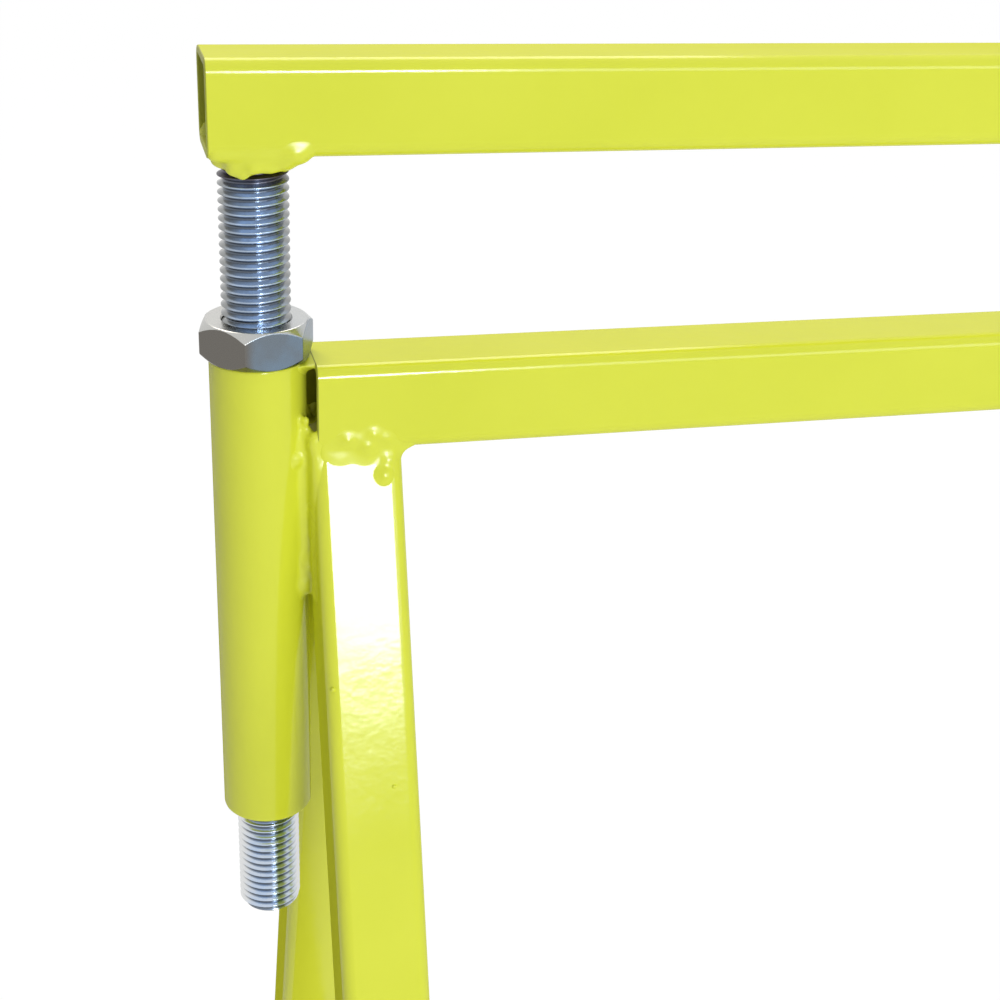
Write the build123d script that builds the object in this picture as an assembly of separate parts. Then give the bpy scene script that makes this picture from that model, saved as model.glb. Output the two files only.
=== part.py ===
from build123d import *
import math
import os

# Adjustable fabrication stand: a painted trestle of welded square tube. Its top rail stands on two threaded
# rods, which slide in round sleeves at the ends of the fixed lower rail. A nut on each rod sits on its
# sleeve, and turning both nuts raises or lowers the top rail.
# X runs along the rails from left to right, Y from front to rear and Z up. The origin is on the floor,
# under the middle of the stand. All sizes are in millimetres and degrees.

# Square tube of the two rails and the four legs
TUBE = 32.0
TUBE_WALL = 2.5
TUBE_CORNER = 4.8
LEAST_INNER_CORNER = 0.3

# Rails
RAIL_LENGTH = 900.0
ROD_INSET = 16.0
LOWER_RAIL_DROP = 0.3
LOWER_RAIL_END_GAP = 1.8

# Sleeves at the ends of the lower rail
SLEEVE_RIM_HEIGHT = 680.0
SLEEVE_CLEARANCE = 1.65
SLEEVE_WALL = 3.2
SLEEVE_LENGTH = 185.0
SLEEVE_EDGE = 0.6

# Threaded rods and their right-hand metric thread
THREAD_DIAMETER = 24.0
THREAD_PITCH = 3.0
THREAD_FLANK_ANGLE = 30.0
CREST_PER_PITCH = 1 / 8
ROOT_PER_PITCH = 1 / 4
ROD_LENGTH = 305.0
ROD_END_CHAMFER = 1.2
THREAD_END_LAND = 0.3
THREAD_LEAD_IN = 0.15
POINTS_PER_TURN = 24

# Adjusting nuts
NUT_WALL = 6.0
NUT_HEIGHT = 14.0
NUT_FACE_INSET = 0.4
NUT_CHAMFER_ANGLE = 45.0
NUT_CORNER_ANGLE = {"left": 12.4, "right": 47.6}
THREAD_CLEARANCE = 0.25
NUT_TO_TOP_RAIL = 58.0

# Legs
LEG_SPLAY = 20.0
LEG_TO_SLEEVE_GAP = 0.15

# Cross braces between the front and rear legs
BRACE_TUBE = 25.0
BRACE_WALL = 2.0
BRACE_CORNER = 3.0
BRACE_HEIGHT = 210.0

# Foot plates
FOOT_LENGTH = 60.0
FOOT_WIDTH = 60.0
FOOT_THICKNESS = 5.0
FOOT_CORNER = 6.0

# Weld beads
ROD_WELD_HEIGHT = 6.0
ROD_WELD_TOE = 2.0
ROD_WELD_REACH = 5.1
WELD_SEAT = 0.02
SEAM_BEAD = 5.5
SEAM_BEAD_INSET = 2.5
SIDE_BEAD = 2.5
SLEEVE_BEAD = 4.2
SLEEVE_BEAD_OFFSET = 11.0
SLEEVE_BEAD_INSET = 2.2
SLEEVE_BEAD_RISE = 12.0
SLEEVE_BEAD_DROP = 61.0
RIM_BEAD = 1.6
RIM_BEAD_LENGTH = 22.0
BRACE_BEAD = 2.5
FOOT_BEAD = 3.0
FILLET_ANGLE = 45.0

SIDES = {"left": -1, "right": 1}
ENDS = {"front": -1, "rear": 1}

# Heights and places that follow from the sizes above
SPLAY = math.radians(LEG_SPLAY)
LOWER_RAIL_TOP = SLEEVE_RIM_HEIGHT - LOWER_RAIL_DROP
LOWER_RAIL_UNDER = LOWER_RAIL_TOP - TUBE
TOP_RAIL_UNDER = SLEEVE_RIM_HEIGHT + NUT_HEIGHT + NUT_TO_TOP_RAIL
ROD_BOTTOM = TOP_RAIL_UNDER - ROD_LENGTH
SLEEVE_BORE_RADIUS = THREAD_DIAMETER / 2 + SLEEVE_CLEARANCE
SLEEVE_RADIUS = SLEEVE_BORE_RADIUS + SLEEVE_WALL
LOWER_RAIL_END = RAIL_LENGTH / 2 - ROD_INSET - SLEEVE_RADIUS - LOWER_RAIL_END_GAP
LEG_RUN = LOWER_RAIL_UNDER / math.cos(SPLAY) + 2 * TUBE
CROTCH_DROP = (TUBE / math.cos(SPLAY) - TUBE / 2) / math.tan(SPLAY)

# Thread profile: half widths of the ridge at its crest and at its root
CREST_RADIUS = THREAD_DIAMETER / 2
CREST_HALF = THREAD_PITCH * CREST_PER_PITCH / 2
RIDGE_HALF = THREAD_PITCH * (1 - ROOT_PER_PITCH) / 2
FLANK = math.tan(math.radians(THREAD_FLANK_ANGLE))
ROOT_RADIUS = CREST_RADIUS - (RIDGE_HALF - CREST_HALF) / FLANK
FIRST_RIDGE = ROD_BOTTOM + ROD_END_CHAMFER + THREAD_END_LAND + RIDGE_HALF

# The nut's ridge fills the rod's groove, less the clearance on every side
FLANK_CLEARANCE = THREAD_CLEARANCE / math.cos(math.radians(THREAD_FLANK_ANGLE))
NUT_FLAT_RADIUS = CREST_RADIUS + NUT_WALL
NUT_ROOT_RADIUS = CREST_RADIUS + THREAD_CLEARANCE
NUT_CREST_RADIUS = ROOT_RADIUS + THREAD_CLEARANCE
GROOVE_HALF = THREAD_PITCH / 2 - RIDGE_HALF
NUT_CREST_HALF = GROOVE_HALF + THREAD_CLEARANCE * FLANK - FLANK_CLEARANCE
NUT_RIDGE_HALF = NUT_CREST_HALF + (NUT_ROOT_RADIUS - NUT_CREST_RADIUS) * FLANK


def rod_x(side):
    """Place of a rod's axis along the stand."""
    return SIDES[side] * (RAIL_LENGTH / 2 - ROD_INSET)


def leg_face_x(side):
    """Place of the legs' outer side face, which lies along the sleeve."""
    return rod_x(side) - SIDES[side] * (SLEEVE_RADIUS + LEG_TO_SLEEVE_GAP)


def leg_x(side):
    """Place of the legs' middle along the stand."""
    return leg_face_x(side) - SIDES[side] * TUBE / 2


def square_bar(size, corner, length):
    """A solid bar with rounded corners, standing on the XY plane."""
    return extrude(RectangleRounded(size, size, corner), length)


def square_tube(size, wall, corner, length):
    """An open tube with rounded corners, standing on the XY plane."""
    inner_corner = max(corner - wall, LEAST_INNER_CORNER)
    return square_bar(size, corner, length) - square_bar(size - 2 * wall, inner_corner, length)


def lay_rail(bar, start, under):
    """Lays a bar along the stand, from the place where it starts, with its underside at a height."""
    return Plane(origin=(start, 0, under + TUBE / 2), x_dir=(0, 1, 0), z_dir=(1, 0, 0)) * bar


def round_bar(start, end, radius):
    """A round bar between two points."""
    run = Vector(*end) - Vector(*start)
    return Plane(origin=start, z_dir=run) * Solid.make_cylinder(radius, run.length)


def make_lower_rail():
    tube = square_tube(TUBE, TUBE_WALL, TUBE_CORNER, 2 * LOWER_RAIL_END)
    return lay_rail(tube, -LOWER_RAIL_END, LOWER_RAIL_UNDER)


def lower_rail_envelope():
    bar = square_bar(TUBE, TUBE_CORNER, 2 * LOWER_RAIL_END)
    return lay_rail(bar, -LOWER_RAIL_END, LOWER_RAIL_UNDER)


def make_top_rail():
    tube = square_tube(TUBE, TUBE_WALL, TUBE_CORNER, RAIL_LENGTH)
    return lay_rail(tube, -RAIL_LENGTH / 2, TOP_RAIL_UNDER)


def top_rail_envelope():
    bar = square_bar(TUBE, TUBE_CORNER, RAIL_LENGTH)
    return lay_rail(bar, -RAIL_LENGTH / 2, TOP_RAIL_UNDER)


def sleeve_bar(side, radius):
    """A round bar as long as a sleeve, in its place."""
    x = rod_x(side)
    return round_bar((x, 0, SLEEVE_RIM_HEIGHT - SLEEVE_LENGTH), (x, 0, SLEEVE_RIM_HEIGHT), radius)


def make_sleeve(side):
    sleeve = sleeve_bar(side, SLEEVE_RADIUS) - sleeve_bar(side, SLEEVE_BORE_RADIUS)
    return chamfer(sleeve.edges().filter_by(GeomType.CIRCLE), SLEEVE_EDGE)


def turn_edge(x, start_radius, start_height, end_radius, end_height):
    """One right-hand turn about a rod's axis, from one radius and height to another."""
    points = []
    for point in range(POINTS_PER_TURN + 1):
        share = point / POINTS_PER_TURN
        angle = 2 * math.pi * share
        radius = start_radius + (end_radius - start_radius) * share
        height = start_height + (end_height - start_height) * share
        points.append(Vector(x + radius * math.cos(angle), radius * math.sin(angle), height))
    return Edge.make_spline(points)


def circle_edge(x, radius, height):
    return Edge.make_circle(radius, Plane((x, 0, height)))


def between(edge, other):
    """The ruled face from one edge to another."""
    return Face.make_surface_from_curves(edge, other)


def ridge_end(x, wall, tip, wall_half, tip_half, middle):
    """The flat face that closes the ridge at the start or end of its first or last turn."""
    outline = [
        (x + wall, 0, middle - wall_half),
        (x + tip, 0, middle - tip_half),
        (x + tip, 0, middle + tip_half),
        (x + wall, 0, middle + wall_half),
    ]
    return Face(Wire.make_polygon(outline))


def threaded_wall(x, wall, crest, wall_half, crest_half, low, high, first, turns):
    """Faces of a round wall that carries one helical ridge, which fades in and out over its end turns.

    wall and crest are radii, so a crest inside the wall makes an internal thread. first is the height of
    the ridge's middle at its start.
    """
    lead = wall + THREAD_LEAD_IN * (crest - wall)
    lead_half = wall_half + THREAD_LEAD_IN * (crest_half - wall_half)
    faces = []
    for turn in range(turns):
        middle = first + turn * THREAD_PITCH
        above = middle + THREAD_PITCH
        start, start_half = (lead, lead_half) if turn == 0 else (crest, crest_half)
        end, end_half = (lead, lead_half) if turn == turns - 1 else (crest, crest_half)
        foot = turn_edge(x, wall, middle - wall_half, wall, above - wall_half)
        lower = turn_edge(x, start, middle - start_half, end, above - end_half)
        upper = turn_edge(x, start, middle + start_half, end, above + end_half)
        head = turn_edge(x, wall, middle + wall_half, wall, above + wall_half)
        faces += [between(foot, lower), between(lower, upper), between(upper, head)]
        if turn < turns - 1:
            next_foot = turn_edge(x, wall, above - wall_half, wall, above + THREAD_PITCH - wall_half)
            faces.append(between(head, next_foot))
    last = first + turns * THREAD_PITCH
    faces.append(ridge_end(x, wall, lead, wall_half, lead_half, first))
    faces.append(ridge_end(x, wall, lead, wall_half, lead_half, last))

    # Plain wall below the first turn and above the last, as a band and two wedges that meet the ridge's end
    bottom = first - wall_half
    top = last + wall_half
    low_ring = turn_edge(x, wall, bottom, wall, bottom)
    low_wedge = turn_edge(x, wall, bottom, wall, bottom + 2 * wall_half)
    low_foot = turn_edge(x, wall, bottom, wall, bottom + THREAD_PITCH)
    high_head = turn_edge(x, wall, top - THREAD_PITCH, wall, top)
    high_wedge = turn_edge(x, wall, top - 2 * wall_half, wall, top)
    high_ring = turn_edge(x, wall, top, wall, top)
    faces += [
        between(circle_edge(x, wall, low), low_ring),
        between(low_ring, low_wedge),
        between(low_wedge, low_foot),
        between(high_head, high_wedge),
        between(high_wedge, high_ring),
        between(high_ring, circle_edge(x, wall, high)),
    ]
    return faces


def make_rod(side):
    x = rod_x(side)
    low = ROD_BOTTOM + ROD_END_CHAMFER
    thread_top = TOP_RAIL_UNDER - ROD_WELD_HEIGHT
    turns = int((thread_top - THREAD_END_LAND - RIDGE_HALF - FIRST_RIDGE) / THREAD_PITCH)
    faces = threaded_wall(
        x, ROOT_RADIUS, CREST_RADIUS, RIDGE_HALF, CREST_HALF, low, TOP_RAIL_UNDER, FIRST_RIDGE, turns
    )
    tip = circle_edge(x, ROOT_RADIUS - ROD_END_CHAMFER, ROD_BOTTOM)
    faces.append(between(tip, circle_edge(x, ROOT_RADIUS, low)))
    faces.append(Face(Wire([tip])))
    faces.append(Face(Wire([circle_edge(x, ROOT_RADIUS, TOP_RAIL_UNDER)])))
    return Solid(Shell(faces))


def make_nut(side):
    x = rod_x(side)
    low = SLEEVE_RIM_HEIGHT
    high = low + NUT_HEIGHT
    hexagon = RegularPolygon(NUT_FLAT_RADIUS, 6, major_radius=False, rotation=NUT_CORNER_ANGLE[side])
    prism = extrude(Plane((x, 0, low)) * hexagon, NUT_HEIGHT)

    # The chamfers cut the six corners back to a round face at each end
    face_radius = NUT_FLAT_RADIUS - NUT_FACE_INSET
    corner_radius = NUT_FLAT_RADIUS / math.cos(math.pi / 6)
    slope = math.tan(math.radians(NUT_CHAMFER_ANGLE))
    rise = (corner_radius - face_radius) * slope
    profile = Polyline(
        (0, 0),
        (face_radius, 0),
        (corner_radius, rise),
        (corner_radius, NUT_HEIGHT - rise),
        (face_radius, NUT_HEIGHT),
        (0, NUT_HEIGHT),
        close=True,
    )
    turned = revolve(Plane.XZ * make_face(profile), Axis.Z)
    body = prism & Pos(x, 0, low) * turned
    body -= round_bar((x, 0, low), (x, 0, high), NUT_ROOT_RADIUS)

    # The plain bore gives way to the threaded one, whose ridge lies in the rod's groove
    grooves_below = math.ceil((low + THREAD_END_LAND + NUT_RIDGE_HALF - FIRST_RIDGE) / THREAD_PITCH - 0.5)
    first = FIRST_RIDGE + (grooves_below + 0.5) * THREAD_PITCH
    turns = int((high - THREAD_END_LAND - NUT_RIDGE_HALF - first) / THREAD_PITCH)
    bore = body.faces().filter_by(GeomType.CYLINDER).sort_by(SortBy.RADIUS)[0]
    faces = [face for face in body.faces() if not face.is_same(bore)]
    faces += threaded_wall(
        x, NUT_ROOT_RADIUS, NUT_CREST_RADIUS, NUT_RIDGE_HALF, NUT_CREST_HALF, low, high, first, turns
    )
    return Solid(Shell(faces))


def leg_plane(side, end):
    """Plane on a leg's axis, at the rail's lower edge: its normal runs down the leg and its Y outwards."""
    outward = Vector(0, ENDS[end] * math.cos(SPLAY), math.sin(SPLAY))
    edge = Vector(leg_x(side), ENDS[end] * TUBE / 2, LOWER_RAIL_UNDER)
    down = Vector(0, ENDS[end] * math.sin(SPLAY), -math.cos(SPLAY))
    return Plane(origin=edge - outward * (TUBE / 2), x_dir=(-ENDS[end], 0, 0), z_dir=down)


def leg_room(side, end):
    """The space a leg is trimmed to: its half of the stand, between its foot plate and the lower rail."""
    depth = LEG_RUN * math.sin(SPLAY) + 2 * TUBE
    height = LOWER_RAIL_UNDER - FOOT_THICKNESS
    middle = Pos(leg_x(side), ENDS[end] * depth / 2, FOOT_THICKNESS + height / 2)
    return middle * Box(2 * TUBE, depth, height)


def make_leg(side, end):
    tube = Pos(0, 0, -TUBE) * square_tube(TUBE, TUBE_WALL, TUBE_CORNER, LEG_RUN + TUBE)
    return (leg_plane(side, end) * tube) & leg_room(side, end)


def leg_envelope(side, end):
    bar = Pos(0, 0, -TUBE) * square_bar(TUBE, TUBE_CORNER, LEG_RUN + TUBE)
    return (leg_plane(side, end) * bar) & leg_room(side, end)


def leg_inner_y(height):
    """Distance from the middle of the stand to a leg's inner face at a height."""
    return TUBE / 2 + (LOWER_RAIL_UNDER - height) * math.tan(SPLAY) - TUBE / math.cos(SPLAY)


def leg_outer_y(height):
    """Distance from the middle of the stand to a leg's outer face at a height."""
    return leg_inner_y(height) + TUBE / math.cos(SPLAY)


def fit_brace(side, bar, span):
    """Lays a bar across the stand and cuts its ends to the slope of the legs' inner faces."""
    lying = Plane(origin=(leg_x(side), -span, BRACE_HEIGHT), x_dir=(1, 0, 0), z_dir=(0, 1, 0)) * bar
    for end in ENDS:
        beyond = Pos(0, span - TUBE / 2, 0) * Box(2 * BRACE_TUBE, 2 * span, 2 * LEG_RUN)
        lying -= leg_plane(side, end) * beyond
    return lying


def brace_span():
    """Half the length a brace is cut from."""
    return leg_inner_y(BRACE_HEIGHT - BRACE_TUBE / 2) + BRACE_TUBE


def make_brace(side):
    span = brace_span()
    return fit_brace(side, square_tube(BRACE_TUBE, BRACE_WALL, BRACE_CORNER, 2 * span), span)


def brace_envelope(side):
    span = brace_span()
    return fit_brace(side, square_bar(BRACE_TUBE, BRACE_CORNER, 2 * span), span)


def make_foot(side, end):
    middle = (leg_inner_y(FOOT_THICKNESS) + leg_outer_y(FOOT_THICKNESS)) / 2
    plate = extrude(RectangleRounded(FOOT_LENGTH, FOOT_WIDTH, FOOT_CORNER), FOOT_THICKNESS)
    return Pos(leg_x(side), ENDS[end] * middle, 0) * plate


def make_rod_weld(side):
    """Cone of weld that hangs the rod from the underside of the top rail."""
    bore = ROOT_RADIUS + WELD_SEAT
    reach = ROOT_RADIUS + ROD_WELD_REACH
    profile = Polyline(
        (bore, -ROD_WELD_HEIGHT),
        (bore + ROD_WELD_TOE, -ROD_WELD_HEIGHT),
        (reach, 0),
        (reach, TUBE_CORNER),
        (bore, TUBE_CORNER),
        close=True,
    )
    cone = revolve(Plane.XZ * make_face(profile), Axis.Z)
    return Pos(rod_x(side), 0, TOP_RAIL_UNDER) * cone - top_rail_envelope()


def make_leg_weld(side):
    """Beads that join a pair of legs to the lower rail and to each other."""
    outer = leg_face_x(side)
    inner = outer - SIDES[side] * TUBE
    near = outer - SIDES[side] * TUBE_CORNER / 2
    far = inner + SIDES[side] * TUBE_CORNER / 2
    crotch = LOWER_RAIL_UNDER - CROTCH_DROP
    flat = TUBE / 2 - TUBE_CORNER
    weld = round_bar((inner, -flat, LOWER_RAIL_UNDER), (inner, flat, LOWER_RAIL_UNDER), SIDE_BEAD)
    weld += round_bar((inner, 0, LOWER_RAIL_UNDER), (inner, 0, crotch), SIDE_BEAD)
    weld += round_bar((near, 0, crotch), (far, 0, crotch), SIDE_BEAD)
    for end in ENDS:
        y = ENDS[end] * (TUBE / 2 - SEAM_BEAD_INSET)
        weld += round_bar((near, y, LOWER_RAIL_UNDER), (far, y, LOWER_RAIL_UNDER), SEAM_BEAD)
    weld -= lower_rail_envelope()
    for end in ENDS:
        weld -= leg_envelope(side, end)
    return weld


def make_sleeve_weld(side):
    """Upright beads between the sleeve and the legs, and a short one over the slit at the rail's end."""
    x = leg_face_x(side) + SIDES[side] * SLEEVE_BEAD_INSET
    slit = rod_x(side) - SIDES[side] * (SLEEVE_RADIUS + LOWER_RAIL_END_GAP / 2)
    rim = LOWER_RAIL_TOP - RIM_BEAD
    weld = round_bar((slit, -RIM_BEAD_LENGTH / 2, rim), (slit, RIM_BEAD_LENGTH / 2, rim), RIM_BEAD)
    for end in ENDS:
        y = ENDS[end] * SLEEVE_BEAD_OFFSET
        top = (x, y, LOWER_RAIL_UNDER + SLEEVE_BEAD_RISE)
        weld += round_bar((x, y, LOWER_RAIL_UNDER - SLEEVE_BEAD_DROP), top, SLEEVE_BEAD)
    weld -= sleeve_bar(side, SLEEVE_RADIUS)
    weld -= lower_rail_envelope()
    for end in ENDS:
        weld -= leg_envelope(side, end)
    return weld


def fillet_ring(length, width, corner, leg_size):
    """Fillet weld round a tube that stands on the XY plane, filled in where the tube goes."""
    foot = RectangleRounded(length + 2 * leg_size, width + 2 * leg_size, corner + leg_size)
    return extrude(foot, leg_size, taper=FILLET_ANGLE)


def make_brace_weld(side):
    """Fillets round both ends of a brace, on the legs' inner faces."""
    rings = []
    for end in ENDS:
        inward = (0, -ENDS[end] * math.cos(SPLAY), -math.sin(SPLAY))
        seat = (leg_x(side), ENDS[end] * leg_inner_y(BRACE_HEIGHT), BRACE_HEIGHT)
        ring = fillet_ring(BRACE_TUBE, BRACE_TUBE / math.cos(SPLAY), BRACE_CORNER, BRACE_BEAD)
        rings.append(Plane(origin=seat, x_dir=(1, 0, 0), z_dir=inward) * ring)
    return rings[0] + rings[1] - brace_envelope(side)


def make_foot_weld(side, end):
    """Fillet round the bottom of a leg, on its foot plate."""
    middle = (leg_inner_y(FOOT_THICKNESS) + leg_outer_y(FOOT_THICKNESS)) / 2
    ring = fillet_ring(TUBE, TUBE / math.cos(SPLAY), TUBE_CORNER, FOOT_BEAD)
    return Pos(leg_x(side), ENDS[end] * middle, FOOT_THICKNESS) * ring - leg_envelope(side, end)


def make_nodes():
    """Every piece of the stand by name."""
    nodes = {"top_rail": make_top_rail(), "lower_rail": make_lower_rail()}
    for side in SIDES:
        nodes[f"{side}_threaded_rod"] = make_rod(side)
        nodes[f"{side}_rod_weld"] = make_rod_weld(side)
        nodes[f"{side}_adjusting_nut"] = make_nut(side)
        nodes[f"{side}_sleeve"] = make_sleeve(side)
        nodes[f"{side}_sleeve_weld"] = make_sleeve_weld(side)
        nodes[f"{side}_leg_weld"] = make_leg_weld(side)
        nodes[f"{side}_brace"] = make_brace(side)
        nodes[f"{side}_brace_weld"] = make_brace_weld(side)
        for end in ENDS:
            nodes[f"{end}_{side}_leg"] = make_leg(side, end)
            nodes[f"{end}_{side}_foot"] = make_foot(side, end)
            nodes[f"{end}_{side}_foot_weld"] = make_foot_weld(side, end)
    return nodes


os.makedirs("parts", exist_ok=True)
for name, solid in make_nodes().items():
    export_step(solid, f"parts/{name}.step")
    print(name, round(solid.volume), "mm3")
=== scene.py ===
# %% [markdown]
# # An adjustable fabrication stand
# The stand is a welded trestle of square steel tube. Its top rail rides on two threaded rods, each rod
# slides in a round sleeve, and a nut on each rod rests on the sleeve and sets the height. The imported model
# gives the true size and place of every part. This lesson dresses it: each part is modelled again with soft
# painted edges, real threads and lumpy welds, and gets a finish made of shader nodes.

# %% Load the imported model
import math
import random

import bmesh
import bpy
from mathutils import Matrix, Vector


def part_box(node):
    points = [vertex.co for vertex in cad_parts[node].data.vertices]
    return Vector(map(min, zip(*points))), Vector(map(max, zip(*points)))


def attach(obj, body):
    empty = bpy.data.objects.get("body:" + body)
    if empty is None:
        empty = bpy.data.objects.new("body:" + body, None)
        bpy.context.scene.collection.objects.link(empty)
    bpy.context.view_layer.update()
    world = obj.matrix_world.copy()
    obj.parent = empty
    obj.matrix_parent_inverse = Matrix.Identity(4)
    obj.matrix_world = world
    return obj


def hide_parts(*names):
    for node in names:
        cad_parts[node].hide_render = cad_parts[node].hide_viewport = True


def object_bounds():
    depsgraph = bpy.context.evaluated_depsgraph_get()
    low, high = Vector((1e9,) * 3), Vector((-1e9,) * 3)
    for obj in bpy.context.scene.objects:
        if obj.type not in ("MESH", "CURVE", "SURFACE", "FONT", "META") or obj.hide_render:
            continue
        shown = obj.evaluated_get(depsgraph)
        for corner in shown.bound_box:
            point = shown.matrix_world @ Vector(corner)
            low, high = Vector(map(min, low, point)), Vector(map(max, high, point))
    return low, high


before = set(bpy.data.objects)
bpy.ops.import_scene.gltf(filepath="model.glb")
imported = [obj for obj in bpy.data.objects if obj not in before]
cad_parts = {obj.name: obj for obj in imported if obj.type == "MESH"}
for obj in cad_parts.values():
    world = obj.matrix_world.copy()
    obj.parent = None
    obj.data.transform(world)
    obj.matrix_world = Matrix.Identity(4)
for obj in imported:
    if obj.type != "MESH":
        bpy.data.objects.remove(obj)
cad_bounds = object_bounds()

# %% [markdown]
# ## Sizes
# A stand that is welded from stock tube has few sizes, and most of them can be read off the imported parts.
# They could be typed in again, but a typed copy goes stale when the model changes. So every place comes
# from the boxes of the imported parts, and only what a box can't tell, such as the tube's wall, is written
# down, in metres.

# %% Sizes from the frame
MM = 0.001
SIDES = {"left": -1, "right": 1}
ENDS = {"front": -1, "rear": 1}
X, Y, Z = Vector((1, 0, 0)), Vector((0, 1, 0)), Vector((0, 0, 1))

top_low, top_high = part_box("top_rail")
rail_low, rail_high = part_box("lower_rail")
leg_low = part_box("front_left_leg")[0]
TUBE = rail_high.z - rail_low.z
TUBE_WALL = 2.5 * MM
TUBE_CORNER = 4.8 * MM
RAIL_UNDER = rail_low.z
FOOT_TOP = leg_low.z
SPLAY = math.atan2(-leg_low.y - TUBE / 2, RAIL_UNDER - FOOT_TOP)
print("tube", round(TUBE / MM, 2), "mm; legs splay", round(math.degrees(SPLAY), 2), "degrees")


def middle(part):
    """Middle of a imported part's box."""
    low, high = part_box(part)
    return (low + high) / 2


# %% [markdown]
# ## From a bmesh to a piece
# On the real stand every part is a piece of steel with a finish. A bmesh holds only its shape. The piece
# also needs a name, a material, smooth shading, a body to ride on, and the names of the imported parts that
# it stands for. All that could be set piece by piece, but one function treats every piece alike and forgets
# nothing. Edges that turn sharply stay sharp, and the Weighted Normal modifier keeps the wide flat sides
# flat while their rounded corners shade smoothly.

# %% Finish a piece
SHARP_ANGLE = math.radians(32)
finishes = {}


def add_piece(bm, name, body, finish, stands_for=(), weighted=True):
    """Turns a bmesh into a smooth piece with a finish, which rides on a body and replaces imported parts."""
    for face in bm.faces:
        face.smooth = True
    for edge in bm.edges:
        edge.smooth = edge.calc_face_angle(0.0) < SHARP_ANGLE
    mesh = bpy.data.meshes.new(name)
    bm.to_mesh(mesh)
    bm.free()
    piece = bpy.data.objects.new(name, mesh)
    bpy.context.scene.collection.objects.link(piece)
    for material in [finish] if isinstance(finish, str) else finish:
        mesh.materials.append(finishes[material])
    if weighted:
        normals = piece.modifiers.new("flat_sides", "WEIGHTED_NORMAL")
        normals.keep_sharp = True
    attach(piece, body)
    if stands_for:
        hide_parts(*stands_for)
    return piece


# %% [markdown]
# ## Small helpers for shader nodes
# A finish is a chain of shader nodes. It could be drawn in the shader editor, but a chain that a script
# makes can be read, compared and changed by one number. Each helper makes one node, sets or links its
# inputs, and gives back its output, so that a chain reads like a formula.

# %% Node helpers
MIX_SHARE, MIX_FIRST, MIX_SECOND, MIX_COLOUR = 0, 6, 7, 2


def feed(tree, socket, value):
    """Sets a socket to a number or a colour, or links it to the output of another node."""
    if isinstance(value, bpy.types.NodeSocket):
        tree.links.new(value, socket)
    elif socket.type == "RGBA":
        socket.default_value = (*value, 1.0)
    else:
        socket.default_value = value


def node(tree, kind, **settings):
    """A new node with its settings."""
    made = tree.nodes.new(kind)
    for key, value in settings.items():
        setattr(made, key, value)
    return made


def noise(tree, place, scale, detail=2.0, roughness=0.5):
    """A noise texture. Its scale is in features per metre."""
    made = node(tree, "ShaderNodeTexNoise")
    for socket, value in (("Vector", place), ("Scale", scale), ("Detail", detail), ("Roughness", roughness)):
        feed(tree, made.inputs[socket], value)
    return made.outputs["Fac"]


def ramp(tree, value, low, high, to_low=0.0, to_high=1.0, smooth=False):
    """Maps a value from one range to another, and stops at its ends."""
    made = node(tree, "ShaderNodeMapRange", interpolation_type="SMOOTHSTEP" if smooth else "LINEAR")
    sockets = ("Value", "From Min", "From Max", "To Min", "To Max")
    for socket, setting in zip(sockets, (value, low, high, to_low, to_high)):
        feed(tree, made.inputs[socket], setting)
    return made.outputs["Result"]


def mix_colours(tree, share, first, second):
    """One colour turning into another."""
    made = node(tree, "ShaderNodeMix", data_type="RGBA")
    for socket, value in ((MIX_SHARE, share), (MIX_FIRST, first), (MIX_SECOND, second)):
        feed(tree, made.inputs[socket], value)
    return made.outputs[MIX_COLOUR]


def maths(tree, operation, *values):
    """One step of arithmetic on numbers and sockets."""
    made = node(tree, "ShaderNodeMath", operation=operation)
    for socket, value in zip(made.inputs, values):
        feed(tree, socket, value)
    return made.outputs[0]


# %% [markdown]
# ## Orange peel, an effect that the paints share
# Powder coat is sprayed on as dust and melts in an oven. It flows a little before it sets, which leaves
# fine dimples, long shallow waves and a film that isn't even. A photographed texture could hold that, but
# noise needs no unwrapping and stays crisp at any distance. Three paints use the effect with their own
# values, so it is a node group that is built once. A group gives only masks and heights: the shader stays
# in the material.

# %% Orange peel of powder coat
WAVES_PER_METRE = 60.0
WAVE_HEIGHT = 2.5
CLOUDS_PER_METRE = 18.0


def new_group(name, inputs, outputs):
    """An empty shader node group with named sockets, and its two end nodes."""
    group = bpy.data.node_groups.new(name, "ShaderNodeTree")
    for socket, kind, value in inputs:
        made = group.interface.new_socket(socket, in_out="INPUT", socket_type=kind)
        made.default_value = value
    for socket in outputs:
        group.interface.new_socket(socket, in_out="OUTPUT", socket_type="NodeSocketFloat")
    return group, group.nodes.new("NodeGroupInput"), group.nodes.new("NodeGroupOutput")


def make_orange_peel():
    """Height and cloudiness of a coat that has flowed and set."""
    group, ins, outs = new_group(
        "orange_peel",
        [("Place", "NodeSocketVector", (0, 0, 0)), ("Dimples", "NodeSocketFloat", 330.0)],
        ["Height", "Cloud"],
    )
    place = ins.outputs["Place"]
    dimples = noise(group, place, ins.outputs["Dimples"], detail=1.0)
    waves = maths(group, "MULTIPLY", noise(group, place, WAVES_PER_METRE, detail=1.0), WAVE_HEIGHT)
    feed(group, outs.inputs["Height"], maths(group, "ADD", dimples, waves))
    feed(group, outs.inputs["Cloud"], noise(group, place, CLOUDS_PER_METRE, detail=3.0))
    return group


orange_peel = make_orange_peel()
print(orange_peel.name, "has", len(orange_peel.nodes), "nodes")

# %% [markdown]
# ## Cloudy plating, an effect that the zinc finishes share
# Zinc plate comes out of its bath with faint bluish patches and a crystal grain that is too fine to see,
# but that blurs its reflections. A picture of plated steel would repeat along a rod, so noise makes both:
# one with wide soft steps gives the patches, and a very fine one the grain. The thread and the nut have
# patches of different sizes, so this is a group as well.

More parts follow.
